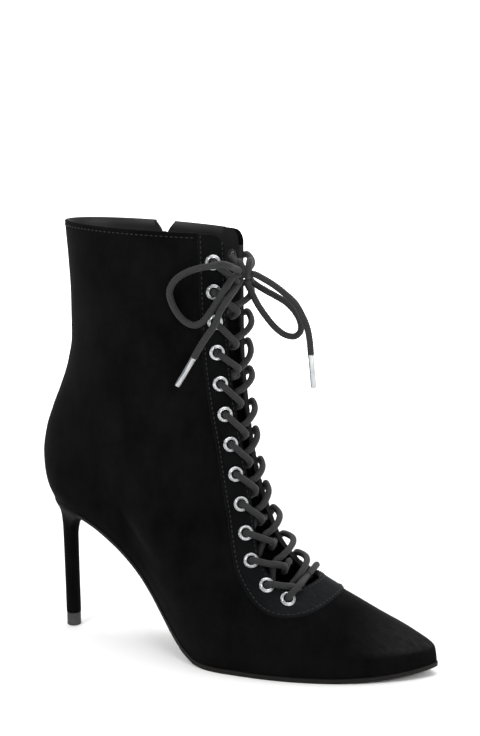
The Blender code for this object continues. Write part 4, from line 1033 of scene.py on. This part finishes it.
def make_upper_skin():
    points, faces, kinds = [], [], []

    def join(first, second, material, closed=True):
        new = band(first, second, closed)
        faces.extend(new)
        kinds.extend([UPPER_MATERIALS.index(material)] * len(new))

    seam_level, seam_turn = throat_line(EYESTAY_WIDTH)
    half_rows = ARM_ROWS + END_ROWS
    foot_turn = foot_turns()
    collar_turn = np.linspace(seam_turn[0], seam_turn[-1], COLLAR_COLUMNS + 1)[1:-1]
    collar_level = np.ones(len(collar_turn))
    top_level = np.concatenate([seam_level[half_rows::-1], collar_level, seam_level[:half_rows:-1]])
    top_turn = np.concatenate([seam_turn[half_rows::-1], collar_turn, seam_turn[:half_rows:-1]])
    outer, inner = [], []
    for share in np.arange(SHELL_ROWS + 1) / SHELL_ROWS:
        level, turn = top_level * share, foot_turn + (top_turn - foot_turn) * share**COLUMN_BOW
        fade = np.clip(share / 0.06, 0, 1) * np.clip((1 - share) / 0.04, 0, 1)
        outer.append(row_of(points, lumpy(level, turn, fade)))
        inner.append(row_of(points, last_surface(level, turn, WALL)))
    for below, above in zip(outer, outer[1:]):
        join(below, above, SUEDE)
    for below, above in zip(inner, inner[1:]):
        join(below, above, LINING)
    join(outer[0], inner[0], EDGE)

    # The collar's edge is turned and rounded
    collar = slice(half_rows, half_rows + COLLAR_COLUMNS + 1)
    top_out = last_surface(top_level[collar], top_turn[collar])
    top_in = last_surface(top_level[collar], top_turn[collar], WALL)
    across, middle = (top_out - top_in) / 2, (top_out + top_in) / 2
    previous = outer[-1][collar]
    for angle in np.radians((45, 90, 135)):
        lift = np.array([0, 0, COLLAR_ROUND]) * math.sin(angle)
        rim = row_of(points, middle + across * math.cos(angle) + lift)
        join(previous, rim, SUEDE, closed=False)
        previous = rim
    join(previous, inner[-1][collar], LINING, closed=False)

    # The eyestay, down its border, over its face and round the throat's edge
    along_seam = list(range(half_rows, -1, -1)) + [len(foot_turn) - i for i in range(1, half_rows + 1)]
    previous = [outer[-1][i] for i in along_seam]
    stay_rows = list(STAY_BORDER) + [(share, 1.05) for share in np.linspace(0.18, 0.86, STAY_COLUMNS)]
    for index, (share, lift) in enumerate(stay_rows + list(STAY_LIP)):
        level, turn = throat_line(EYESTAY_WIDTH * (1 - share))
        ring = row_of(points, wall_point(level, turn, np.full_like(level, -EYESTAY_STEP * lift)))
        join(previous, ring, STAY if index else EDGE, closed=False)
        previous = ring
    level, turn = throat_line(0)
    for depth in (-0.3 * EYESTAY_STEP, 0.6 * WALL):
        ring = row_of(points, wall_point(level, turn, np.full_like(level, depth)))
        join(previous, ring, EDGE, closed=False)
        previous = ring
    inside = [inner[-1][i] for i in along_seam]
    for share in np.linspace(0, 1, STAY_COLUMNS + 1)[1:]:
        level, turn = throat_line(EYESTAY_WIDTH * (1 - share))
        ring = row_of(points, last_surface(level, turn, WALL))
        join(inside, ring, LINING, closed=False)
        inside = ring
    join(previous, inside, EDGE, closed=False)
    skin = mesh_piece("upper_skin", points, faces, *UPPER_MATERIALS)
    skin.data.polygons.foreach_set("material_index", kinds)
    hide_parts("upper")
    return skin


def swept(drops, section):
    """Rows of points down the zip. section gives, at a drop, places aside and depths."""
    rows = []
    for drop in drops:
        aside, depth = np.array(section(drop)).T
        level, turn = zip_chart(aside, np.full(len(aside), drop))
        rows.append(wall_point(level, turn, depth))
    return rows


def slot_section(drop):
    """The zip's slot, which opens to a notch at the collar."""
    notch = (ZIP_NOTCH_WIDTH - ZIP_SLOT) / 2
    half = ZIP_SLOT / 2 + notch * max(0, 1 - max(drop, 0) / ZIP_NOTCH_DEPTH) ** 1.3
    out, below = 3 * MM, WALL + 3 * MM
    return (-half, -out), (half, -out), (half, below), (-half, below)


def cut_holes(skin, frames):
    """Round holes through the upper under every eyelet, and the zip's slot."""
    radius = EYELET_BARREL / 2 + 0.05 * MM
    points, faces = [], []
    for matrix in frames:
        add_body(points, faces, [
            [matrix @ Vector((radius * math.cos(a), radius * math.sin(a), height)) for a in circle(24)]
            for height in (2.5 * MM, -EYESTAY_STEP - WALL - 2.5 * MM)
        ])
    holes = mesh_object("holes", points, faces)
    notch_drops = np.linspace(0, ZIP_NOTCH_DEPTH, 8)
    drops = np.concatenate([[-4 * MM], notch_drops, np.linspace(ZIP_NOTCH_DEPTH, zip_length(), 60)[1:]])
    points, faces = [], []
    add_body(points, faces, swept(drops, slot_section))
    slot = mesh_object("slot", points, faces)
    bpy.context.view_layer.objects.active = skin
    for tool in (holes, slot):
        tool.data.materials.append(EDGE)
        step = skin.modifiers.new(tool.name, "BOOLEAN")
        step.operation = "DIFFERENCE"
        step.solver = "EXACT"
        step.object = tool
    evaluated = skin.evaluated_get(bpy.context.evaluated_depsgraph_get())
    cut_mesh = bpy.data.meshes.new_from_object(evaluated)
    skin.modifiers.clear()
    skin.data = cut_mesh
    for tool in (holes, slot):
        bpy.data.objects.remove(tool)


COLLAR_STITCH_DROP = 2.3 * MM
SEAM_STITCH_INSET = 1.7 * MM
EDGE_STITCH_INSET = 1.8 * MM
ZIP_STITCH_ASIDE = 2.4 * MM  # beside the slot
ZIP_STITCH_CLEARANCE = 7.5 * MM  # where the collar's row stops for the zip


def make_stitching():
    # Under the collar
    _, seam_turn = throat_line(EYESTAY_WIDTH)
    turn = np.linspace(seam_turn[0] + 0.01, seam_turn[-1] - 0.01, 260)
    level = np.full_like(turn, 1.0)
    top = last_surface(1.0, turn)[..., 2]
    steepness = (top - last_surface(0.9, turn)[..., 2]) / 0.1
    for _ in range(6):
        level = level + (top - COLLAR_STITCH_DROP - last_surface(level, turn)[..., 2]) / steepness
    row = last_surface(level, turn)
    near_zip = (row[:, 1] > 0) & (np.abs(row[:, 0] - ZIP_TOP_X) < ZIP_STITCH_CLEARANCE)
    gap = np.flatnonzero(near_zip)
    for name, pick in (("a", slice(0, gap[0])), ("b", slice(gap[-1] + 1, None))):
        stitches("collar_stitches_" + name, row[pick], outward(level[pick], turn[pick]))
    # Along the eyestay's border and beside the throat
    for name, offset in (("seam", EYESTAY_WIDTH - SEAM_STITCH_INSET), ("edge", EDGE_STITCH_INSET)):
        level, turn = throat_line(offset)
        row = wall_point(level, turn, np.full_like(level, -EYESTAY_STEP * 1.04))
        stitches("eyestay_stitches_" + name, row, outward(level, turn))
    # Both sides of the zip
    drop = np.linspace(7.5 * MM, zip_length() + 3 * MM, 60)
    for name, side in (("back", -1), ("front", 1)):
        level, turn = zip_chart(np.full_like(drop, side * (ZIP_SLOT / 2 + ZIP_STITCH_ASIDE)), drop)
        stitches("zip_stitches_" + name, last_surface(level, turn), outward(level, turn))


# Sole, insole and heel

# The sole's side from the upper down: how far it stands out past the feather line, and its depth as
# a share of the sole's thickness
SOLE_SIDE = (
    (0.1 * MM, 0),
    (SOLE_MARGIN, 0.08),
    (SOLE_MARGIN, 0.7),
    (SOLE_MARGIN - 0.25 * MM, 0.93),
    (SOLE_MARGIN - 0.9 * MM, 1.0),
)


def along_foot(points):
    return (points[:, 0] + SEAT_BACK) / FOOT_LENGTH


def make_outsole_skin():
    turn = np.linspace(seat_turn(), 1, 121)
    steps, between = len(turn), 12
    edge = np.concatenate([-turn[::-1], turn[:-1]])
    share = np.linspace(0, 1, between + 2)[1:-1]
    points, faces, loops = [], [], []
    for margin, depth in SOLE_SIDE:
        line = sole_outline(edge, np.full_like(edge, -margin), GAP)
        line[steps - 1 : steps + 1, 0] += GAP
        breast = line[steps - 1] + (line[steps] - line[steps - 1]) * share[:, None]
        line = np.concatenate([line[:steps], breast, line[steps:]])
        tread = np.clip((along_foot(line) - 0.30) / 0.15, 0, 1)
        thick = SHANK_THICKNESS + (TREAD_THICKNESS - SHANK_THICKNESS) * tread * tread * (3 - 2 * tread)
        line[:, 2] = feather_height(along_foot(line)) - GAP - depth * thick * sole_steepness(line[:, 0])
        loops.append(row_of(points, line))
    for first, second in zip(loops, loops[1:]):
        faces.extend(band(first, second))
    for one in (loops[0], loops[-1]):
        mirror = [one[0]] + [one[len(one) - i] for i in range(1, steps)]
        faces.extend(band(one[:steps], mirror, closed=False))
        faces.append(tuple(one[steps - 1 : steps + between + 1]))
    skin = mesh_piece("outsole_skin", points, faces, SOLE, smooth=35)
    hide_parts("outsole")


HEEL_HOLLOW = 1 * MM  # how deep the breast curves in under the seat
HEEL_HOLLOW_REACH = 0.12  # share of the heel's height that the curve takes


def make_heel_skin():
    turn = seat_turn()
    side = np.linspace(0, 1, 41)
    outer = sole_outline(-turn * side, np.zeros(41), GAP)
    inner = sole_outline(turn * side[:0:-1], np.zeros(40), GAP)
    corner = sole_outline(np.array([-turn, turn]), np.zeros(2), GAP)
    share = np.linspace(0, 1, 32)[1:-1]
    breast = corner[0] + (corner[1] - corner[0]) * share[:, None]
    seat = np.concatenate([outer, breast, inner])
    middle = HEEL_BREAST / 2 - SEAT_BACK / 2 + 1.5 * MM
    angle = np.arctan2(seat[:, 1], seat[:, 0] - middle)
    facing = np.clip(np.cos(angle), 0, 1) ** 2
    bottom = HEEL_TIP_HEIGHT + GAP
    place = column(HEEL, HEEL_COLUMNS, "drop")
    rows = []
    for drop in np.concatenate([np.linspace(0, 0.3, 40), np.linspace(0.3, 1, 40)[1:]]):
        flare = float(smooth(place, column(HEEL, HEEL_COLUMNS, "flare"), drop))
        girth = float(smooth(place, column(HEEL, HEEL_COLUMNS, "girth"), drop))
        radius = STEM_WIDTH / 2 * girth
        lean = -STEM_LEAN * (1 - drop)
        stem = np.stack([lean + radius * np.cos(angle), radius * np.sin(angle)], -1)
        level = stem + (seat[:, :2] - stem) * flare
        if drop > 0:
            level[:, 0] -= HEEL_HOLLOW * max(0.0, 1 - drop / HEEL_HOLLOW_REACH) * facing
        rows.append(np.column_stack([level, seat[:, 2] * (1 - drop) + bottom * drop]))
    points, faces = [], []
    add_body(points, faces, rows)
    skin = mesh_piece("heel_skin", points, faces, SUEDE, smooth=50)
    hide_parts("heel")


def make_tip_skin():
    radius, height = HEEL_TIP_WIDTH / 2, HEEL_TIP_HEIGHT
    foot = [(0.0, 0.0), (radius - 0.5 * MM, 0.0), (radius - 0.15 * MM, 0.15 * MM), (radius, 0.5 * MM)]
    top = [(radius, height - 0.3 * MM), (radius - 0.1 * MM, height - 0.1 * MM)]
    top += [(radius - 0.4 * MM, height), (0.0, height)]
    skin = turned_piece("heel_tip_skin", Matrix.Identity(4), foot + top, TIP, 48)
    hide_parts("heel_tip")


def make_insole_skin():
    turn = np.linspace(-1, 1, 201)[:-1]
    inset = WALL + GAP
    low, high = np.zeros_like(turn), np.full_like(turn, 0.3)
    for _ in range(24):
        middle = (low + high) / 2
        place = last_surface(middle, turn, inset)
        under = place[:, 2] - feather_height(along_foot(place)) < INSOLE_THICKNESS
        low, high = np.where(under, middle, low), np.where(under, high, middle)
    top = last_surface(high, turn, inset)
    top[:, 2] = feather_height(along_foot(top)) + INSOLE_THICKNESS
    points, faces = [], []
    loops = [row_of(points, last_surface(0, turn, inset)), row_of(points, top)]
    faces.extend(band(*loops))
    for one in loops:
        half = len(one) // 2
        faces.extend(band(one[: half + 1], one[:1] + one[: half - 1 : -1], closed=False))
    skin = mesh_piece("insole_skin", points, faces, LINING, smooth=35)
    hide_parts("insole")


# Eyelets and laces

# The laces on the outside, in mm. A near lace goes from its eyelet straight to a place near_drop lower
# and near_inset in from the throat's edge. A far lace comes over the far edge far_rise above its
# eyelet and ends far_drop below it. far_bend is 1 for a straight one and more for one that levels
# out, and far_sink is how much deeper than the others it lies in the end.
LACE_COLUMNS = ("near_drop", "near_inset", "far_rise", "far_drop", "far_bend", "far_sink")
LACES = (
    (11.0, 6.0, 1.5, 10.0, 0.9, 0.0),
    (11.5, 6.0, 2.0, 10.0, 1.0, 0.0),
    (13.0, 4.5, 2.0, 12.0, 1.0, 0.0),
    (10.0, 4.5, 2.5, 14.0, 1.0, 1.0),
    (12.5, 3.5, 4.0, 7.0, 1.0, 0.0),
    (13.5, 3.5, 2.5, 9.5, 1.0, -1.0),
    (12.5, 2.0, 3.5, 8.0, 1.1, 0.0),
    (11.5, 1.5, 2.0, 7.0, 1.5, 0.0),
    (12.0, 0.0, 3.5, 7.5, 1.3, 1.5),
    (12.0, 3.5, 3.5, 6.5, 1.6, 0.0),
    (12.0, 5.5, 0.5, 7.5, 2.3, 0.5),
    (12.0, 3.0, 0.5, 8.5, 2.3, 4.0),
)
# How high above the eyestay the laces run, in mm, at shares of the way that a near lace has gone, and
# at places of a far lace as shares of the way from the throat's centre to its far edge.
NEAR_HEIGHTS = ((0.47, 2.6), (0.75, 2.5), (1.0, 1.8))
FAR_HEIGHTS = ((1.0, 2.1), (0.6, 2.1), (0.25, 1.5), (-0.15, 0.5), (-0.5, -0.6), (-0.75, -2.4))
# A lace at an eyelet: distances from its centre and heights above the eyestay, in mm, coming over the
# rim and going down the hole, and then leaving on the inside
OVER_RIM = ((3.0, 2.75), (1.2, 2.1), (0.25, 0.6))
UNDER_RIM = ((0.1, -1.6), (0.4, -3.6), (1.6, -5.2))
LACE_INSIDE = -(EYESTAY_STEP + WALL + LACE / 2 + 0.7 * MM)
BAR_REST = 0.6 * MM  # how far the bar stays off the throat's edge


def make_eyelets(frames):
    hole, barrel, flange = EYELET_HOLE / 2, EYELET_BARREL / 2, EYELET_FLANGE / 2
    foot = -EYESTAY_STEP - WALL - 0.5 * MM
    # distances out from the hole or in from the flange, in mm, and heights as shares of the rim
    hole_side = ((0, 0.40), (0.08, 0.70), (0.28, 0.93), (0.5, 1.0), (0.75, 0.92), (0.95, 0.66), (1.2, 0.55))
    flange_side = ((0.75, 0.56), (0.45, 0.68), (0.2, 0.62), (0, 0.36), (0.05, 0.12), (0.5, 0.05))
    profile = [(hole + 0.5 * MM, foot - 0.2 * MM), (hole, foot + 0.2 * MM)]
    profile += [(hole + out * MM, share * EYELET_RIM) for out, share in hole_side]
    profile += [(flange - back * MM, share * EYELET_RIM) for back, share in flange_side]
    profile += [(barrel, 0.0), (barrel, foot + 0.1 * MM), (barrel + 1.1 * MM, foot - 0.1 * MM)]
    profile += [(barrel + 1.1 * MM, foot - 0.45 * MM), (hole + 0.5 * MM, foot - 0.5 * MM)]
    for index, matrix in enumerate(frames):
        side = "outer" if index < EYELET_PAIRS else "inner"
        name = "eyelet_%s_%02d" % (side, index % EYELET_PAIRS + 1)
        ring = turned_piece(name + "_ring", matrix, profile, EYELET, 48, closed=True)
        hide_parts(name)


def through_eyelet(matrix, out_to, in_to):
    """Points of a lace that comes over an eyelet's rim, goes down its hole and leaves inside."""
    turned = matrix.inverted().to_3x3()
    points = []
    for target, run in ((out_to, OVER_RIM), (in_to, UNDER_RIM)):
        flat = turned @ (Vector(target) - matrix.translation)
        flat.z = 0
        flat.normalize()
        points += [np.array(matrix @ (flat * (out * MM) + Vector((0, 0, up * MM)))) for out, up in run]
    return points


def on_stay(down, across, height):
    """A point at a height above the eyestay's face."""
    return throat_point(np.array([down]), np.array([across]), -EYESTAY_STEP - height)[0]


def crossing(number, side):
    """A lace from an eyelet's outside over the throat's edge, across the gap and under the other edge."""
    down, _ = eyelet_row()
    start, pitch = down[number - 1], down[number] - down[number - 1]
    edge, next_edge = edge_half(down[number - 1 : number + 1])
    lace = dict(zip(LACE_COLUMNS, LACES[number - 1]))
    points = []
    if side < 0:
        drop, inset = lace["near_drop"] * MM, lace["near_inset"] * MM
        for share, height in NEAR_HEIGHTS:
            place = -edge - EYELET_INSET + share * (EYELET_INSET + inset)
            points.append(on_stay(start + share * drop, place, height * MM))
        points.append(on_stay(start + drop + 0.12 * pitch, -edge + inset + 1.8 * MM, -1.6 * MM))
        points.append(on_stay(start + drop + 0.20 * pitch, -edge + inset + 3.2 * MM, -6 * MM))
        points.append(on_stay(start + 0.97 * pitch, 0.3 * edge, -10 * MM))
    else:
        rise, fall = lace["far_rise"] * MM, lace["far_drop"] * MM
        for place, height in FAR_HEIGHTS:
            gone = (1 - place) / (1 - FAR_HEIGHTS[-1][0])
            drop = (rise + fall) * (1 - (1 - gone) ** lace["far_bend"]) - rise
            points.append(on_stay(start + drop, place * edge, (height - gone * lace["far_sink"]) * MM))
        points.append(on_stay(start + fall / 2 + 0.46 * pitch, -0.94 * edge, -4.8 * MM))
    points.append(on_stay(down[number] - 0.4 * MM, -side * (next_edge + 0.8 * MM), LACE_INSIDE))
    return points


def make_laces(frames):
    """The two laces, from the bar's middle, through every eyelet, to the knot."""
    at = {-1: frames[:EYELET_PAIRS], 1: frames[EYELET_PAIRS:]}
    nodes = ["lace_crossing_%02d" % n for n in range(1, EYELET_PAIRS)]
    crossings = {(n, side): crossing(n, side) for n in range(1, EYELET_PAIRS) for side in (-1, 1)}
    down, _ = eyelet_row()
    edge = edge_half(down)
    bar = {}
    for side in (-1, 1):
        corner = throat_point(down[-1:], side * edge[-1:], -EYESTAY_STEP)[0]
        bar[side] = corner + throat_normal(down[-1:], side * edge[-1:])[0] * (LACE / 2 + BAR_REST)
    middle = (bar[-1] + bar[1]) / 2
    for first_side, name in ((-1, "lace_outer"), (1, "lace_inner")):
        side = first_side
        route = [middle, bar[side]]
        for number in range(EYELET_PAIRS, 0, -1):
            if number > 1:
                ahead = crossings[number - 1, -side][::-1]
            else:
                tuck = on_stay(down[0] + 1 * MM, side * (edge[0] + 1 * MM), -6.2 * MM)
                ahead = [tuck, tuck * 0.4 + knot_centre() * 0.6, knot_centre()]
            route += through_eyelet(at[side][number - 1], route[-1], ahead[0]) + ahead
            side = -side
        lace = lace_piece(name, route)
        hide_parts(*nodes, "lace_bar", "lace_knot")


# The knot: the lace wound round the bow's middle. Its wraps lie aside and tilted by an angle, and
# measure tall and deep, in mm. Its core goes from place to place, aside and up.
KNOT_RIGHT = np.array((0.93, 0.36, 0.0))
KNOT_BACK = np.array((0.35, -0.92, 0.19))
KNOT_UP = -np.cross(KNOT_BACK, KNOT_RIGHT)
KNOT_LOWER = 2.6
WRAP_COLUMNS = ("aside", "tilt", "tall", "deep")
WRAPS = {"a": (1.9, -8, 4.9, 3.6), "b": (-1.6, 24, 4.6, 3.2)}
WRAP_STEPS = 16
WRAP_ADVANCE = 0.9
KNOT_CORE = ((-4.0, 2.2), (-0.5, 0.6), (3.5, -1.8))


def make_knot():
    pieces = []
    for name, row in WRAPS.items():
        wrap = dict(zip(WRAP_COLUMNS, row))
        lean = math.radians(wrap["tilt"])
        ring = []
        for share in np.arange(WRAP_STEPS + 1) / WRAP_STEPS:
            angle = 2 * math.pi * share
            rise = math.cos(angle) * wrap["tall"]
            across = wrap["aside"] + math.sin(lean) * rise + WRAP_ADVANCE * share
            place = KNOT_RIGHT * across + KNOT_UP * (math.cos(lean) * rise - KNOT_LOWER)
            place = place + KNOT_BACK * math.sin(angle) * wrap["deep"]
            ring.append(knot_centre() + place * MM)
        pieces.append(lace_piece("knot_wrap_" + name, ring))
    line = [knot_centre() + (KNOT_RIGHT * x + KNOT_UP * z) * MM for x, z in KNOT_CORE]
    pieces.append(lace_piece("knot_core", line, LACE / 2 * 1.15))
    for piece in pieces:
        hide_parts("lace_knot")


# An aglet from the lace down: shares of its radius, and distances in mm from its top or its foot
AGLET_TOP = ((0.75, -1.0), (1.04, -0.9), (1.08, -0.3), (1.0, 0.4))
AGLET_FOOT = ((1.0, -0.8), (0.9, -0.25), (0.7, 0.0), (0.62, -0.5), (0.0, -0.6))


def make_aglet(name, end, along):
    x = Vector(np.cross(along, (0, 0, 1))).normalized()
    z = Vector(along)
    matrix = Matrix((x, z.cross(x), z)).transposed().to_4x4()
    matrix.translation = Vector(end)
    radius = AGLET_WIDTH / 2
    profile = [(radius * share, at * MM) for share, at in AGLET_TOP] + [(radius * 0.97, AGLET_LENGTH / 2)]
    profile += [(radius * share, AGLET_LENGTH + at * MM) for share, at in AGLET_FOOT]
    aglet = turned_piece(name + "_tube", matrix, profile, AGLET, 28)
    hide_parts(name)
    return aglet


END_SHIFT = np.array((-1.8, -1.2, 0)) * MM  # lays the outer lace end against the outer loop


def make_bow():
    knot = knot_centre()
    for name in ("bow_loop_outer", "bow_loop_inner", "lace_end_outer", "lace_end_inner"):
        points = knot + np.array(BOW[name]) * BOW_SIZE
        if name == "lace_end_outer":
            points[:4] += END_SHIFT
        route = [knot + (points[0] - knot) * 0.45] + list(points)
        with_pieces = []
        loop = name.startswith("bow")
        if loop:
            route.append(knot + (points[-1] - knot) * 0.45)
        else:
            along = unit(points[-1] - points[-2])
            with_pieces = [make_aglet(name.replace("lace_end", "aglet"), points[-1], along)]
        cord = lace_piece(name + "_lace", route)
        line = smooth_line(route, 3 * MM)
        length = float(np.linalg.norm(np.diff(smooth_line(route, 0.5 * MM), axis=0), axis=1).sum())
        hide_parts(name)


# Zip

ZIP_FACE = WALL + 2 * GAP
TOOTH_PITCH = 1.5 * MM
# A tooth from its back to its front: its height, half width and half length, in mm
TOOTH = ((-0.6, 1.3, 0.5), (0.35, 1.35, 0.55), (0.6, 1.05, 0.38))


def tape_section(_):
    half = ZIP_TAPE_WIDTH / 2
    back = ZIP_FACE + ZIP_TAPE
    return (-half, back), (-half, ZIP_FACE), (half, ZIP_FACE), (half, back)


def make_zip():
    points, faces = [], []
    add_body(points, faces, swept(np.linspace(ZIP_TOP_DROP, zip_length() + 4 * MM, 90), tape_section))
    tape = mesh_piece("zip_tape_skin", points, faces, TAPE)
    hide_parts("zip_track")
    # Teeth, in turns from the two sides
    count = int((zip_length() - 9 * MM) / TOOTH_PITCH)
    number = np.arange(count)
    side = np.where(number % 2 == 0, -1.0, 1.0)
    level, turn = zip_chart(side * 0.35 * MM, 6.5 * MM + number * TOOTH_PITCH)
    places = wall_point(level, turn, np.full(count, ZIP_FACE - ZIP_COIL / 2))
    points, faces = [], []
    for place, normal in zip(places, outward(level, turn)):
        matrix = frame_at(place, normal)
        add_body(points, faces, [
            [matrix @ (Vector((x, y, z)) * MM) for x, y in ((-w, -h), (w, -h), (w, h), (-w, h))]
            for z, w, h in TOOTH
        ])
    teeth = mesh_piece("zip_teeth", points, faces, ZIP, smooth=30)


def rounded_box(name, matrix, low, high, bevel):
    """A metal box from one corner to another, in the matrix's own directions."""
    low, high = Vector(low), Vector(high)
    shape = bmesh.new()
    bmesh.ops.create_cube(shape, size=1)
    for vertex in shape.verts:
        vertex.co = vertex.co * (high - low) + (low + high) / 2
    bmesh.ops.bevel(shape, geom=shape.edges[:], offset=bevel, segments=3, affect="EDGES", profile=0.5)
    points = [matrix @ v.co for v in shape.verts]
    faces = [tuple(v.index for v in f.verts) for f in shape.faces]
    shape.free()
    return mesh_piece(name, points, faces, ZIP, smooth=35)


SLIDER_BASE = 2 * GAP
SLIDER_TOP = SLIDER_BASE + SLIDER_PLATE
LUG_WIDTH = 0.8 * MM
# The pull tab from the pin down: half widths as shares of its width, and distances in mm
TAB = ((0.40, 0.3), (0.30, 3.0), (0.28, 9.0), (0.5, 12.0), (0.5, 20.5), (0.42, 21.6), (0.30, 22.0))
# The tab through its thickness: shares of half of it, and how much the outline draws in
TAB_LAYERS = ((-1.0, 0.88), (-0.6, 1.0), (0.6, 1.0), (1.0, 0.88))


def make_slider():
    matrix = slider_frame()
    half_w, half_l, half_neck = SLIDER_WIDTH / 2, SLIDER_LENGTH / 2, LUG_WIDTH
    lug = PULL_WIDTH / 2 + GAP
    top = SLIDER_TOP + PULL_PIN + 3 * GAP
    plate_low, plate_high = (-half_w, -half_l, SLIDER_BASE), (half_w, half_l, SLIDER_TOP)
    neck_low = (-half_neck, -4 * MM, -0.5 * MM)
    neck_high = (half_neck, 4 * MM, SLIDER_BASE + 0.3 * MM)
    pieces = [
        rounded_box("slider_plate", matrix, plate_low, plate_high, 0.5 * MM),
        rounded_box("slider_neck", matrix, neck_low, neck_high, 0.2 * MM),
    ]
    for side, name in ((-1, "a"), (1, "b")):
        near, far = sorted((side * lug, side * (lug + LUG_WIDTH)))
        low, high = (near, -1.4 * MM, SLIDER_TOP - 0.3 * MM), (far, 1.4 * MM, top)
        pieces.append(rounded_box("slider_lug_" + name, matrix, low, high, 0.25 * MM))
    for piece in pieces:
        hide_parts("zip_slider")
    make_pull(matrix, SLIDER_TOP + GAP + PULL_PIN / 2)


def make_pull(matrix, axis):
    """The pin, at a height above the slider's matrix, and the tab that hangs on it."""
    pin_matrix = matrix @ Matrix.Translation((0, 0, axis)) @ Matrix.Rotation(math.radians(90), 4, "Y")
    radius, half = PULL_PIN / 2, PULL_WIDTH / 2
    pin_end = [(0, -half), (radius * 0.8, -half), (radius, -half + 0.2 * MM)]
    profile = pin_end + [(r, -height) for r, height in pin_end[::-1]]
    pin = turned_piece("pull_pin", pin_matrix, profile, ZIP, 24, body="pull")
    edge = [(share * PULL_WIDTH, -drop * MM) for share, drop in TAB]
    outline = edge + [(-x, y) for x, y in edge[::-1]]
    points, faces = [], []
    add_body(points, faces, [
        [matrix @ Vector((x * share, y, axis + at * PULL_THICKNESS / 2)) for x, y in outline]
        for at, share in TAB_LAYERS
    ])
    tab = mesh_piece("pull_tab", points, faces, ZIP, body="pull", smooth=35)
    for piece in (pin, tab):
        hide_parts("zip_pull")


# Stage

CAMERA_AZIMUTH, CAMERA_ELEVATION = math.radians(21), math.radians(11)
CAMERA_DISTANCE = 0.85
CAMERA_FOCAL = 1415  # in pixels of the photo
PHOTO_HEIGHT = 736
SENSOR = 36
CAMERA_TARGET = (0.116, 0, 0.178)
WORLD_LIGHT = 1.08  # behind the boot
FRONT_LIGHT = 0.3
FLOOR_HALF = 6.0
GLOW_FROM, GLOW_TO = 0.35, 1.1  # distances from the boot
# Each light's place, what it points at, its width and height in metres, and its power in watts
LIGHTS = {
    "key": ((-0.5, -1.1, 1.3), (0.1, 0, 0.12), (0.8, 0.6), 16),
    "fill": ((1.1, -0.9, 0.7), (0.12, 0, 0.12), (0.6, 0.6), 7),
    "top": ((0.1, 0.3, 1.5), (0.1, 0, 0.1), (1.2, 1.2), 12),
}


def staged(name, data):
    thing = bpy.data.objects.new(name, data)
    bpy.context.scene.collection.objects.link(thing)
    return thing


def make_floor():
    mesh = bpy.data.meshes.new("floor")
    corners = [(x * FLOOR_HALF, y * FLOOR_HALF, 0) for x, y in ((-1, -1), (1, -1), (1, 1), (-1, 1))]
    mesh.from_pydata(corners, [], [(0, 1, 2, 3)])
    floor = staged("floor", mesh)
    paper = Shader("floor", (0.97, 0.97, 0.968), 0.8)
    paper.set("Specular IOR Level", 0.1)
    # Far from the boot the floor glows, so that it meets the white background without a line
    distance = paper.nodes.new("ShaderNodeVectorMath")
    distance.operation = "LENGTH"
    paper.links.new(paper.place, distance.inputs[0])
    paper.set("Emission Color", (1, 1, 1, 1))
    paper.link(paper.span(distance.outputs["Value"], GLOW_FROM, GLOW_TO), "Emission Strength")
    mesh.materials.append(paper.material)


def make_world():
    """White behind the boot, and darker in front, which the metal mirrors."""
    world = bpy.data.worlds.new("studio")
    bpy.context.scene.world = world
    world.use_nodes = True
    nodes, links = world.node_tree.nodes, world.node_tree.links
    nodes["Background"].inputs["Color"].default_value = (1, 1, 1, 1)
    split = nodes.new("ShaderNodeSeparateXYZ")
    links.new(nodes.new("ShaderNodeTexCoord").outputs["Generated"], split.inputs["Vector"])
    shade = nodes.new("ShaderNodeMapRange")
    shade.inputs["From Min"].default_value = -0.35
    shade.inputs["From Max"].default_value = 0.1
    shade.inputs["To Min"].default_value = FRONT_LIGHT
    shade.inputs["To Max"].default_value = WORLD_LIGHT
    links.new(split.outputs["Y"], shade.inputs["Value"])
    links.new(shade.outputs["Result"], nodes["Background"].inputs["Strength"])
    view = bpy.context.scene.view_settings
    view.view_transform = "Standard"
    view.exposure = 0.0


def make_lights():
    for name, (place, aim, size, power) in LIGHTS.items():
        lamp = bpy.data.lights.new(name, "AREA")
        lamp.shape = "RECTANGLE"
        lamp.size, lamp.size_y = size
        lamp.energy = power
        light = staged(name, lamp)
        light.location = place
        light.rotation_euler = (Vector(aim) - Vector(place)).to_track_quat("-Z", "Y").to_euler()


def make_camera():
    level = math.cos(CAMERA_ELEVATION)
    back = Vector((
        math.sin(CAMERA_AZIMUTH) * level, -math.cos(CAMERA_AZIMUTH) * level, math.sin(CAMERA_ELEVATION)
    ))
    lens = bpy.data.cameras.new("camera")
    lens.sensor_fit = "AUTO"
    lens.sensor_width = SENSOR
    lens.lens = CAMERA_FOCAL * SENSOR / PHOTO_HEIGHT
    lens.clip_start, lens.clip_end = 0.01, 50
    camera = staged("camera", lens)
    camera.location = Vector(CAMERA_TARGET) + back * CAMERA_DISTANCE
    camera.rotation_euler = (-back).to_track_quat("-Z", "Y").to_euler()
    bpy.context.scene.camera = camera


make_camera()
make_floor()
make_world()
make_lights()
upper_skin = make_upper_skin()
eyelet_places = eyelet_frames(upper_skin)
cut_holes(upper_skin, eyelet_places)
make_stitching()
make_outsole_skin()
make_heel_skin()
make_tip_skin()
make_insole_skin()
make_eyelets(eyelet_places)
make_laces(eyelet_places)
make_knot()
make_bow()
make_zip()
make_slider()
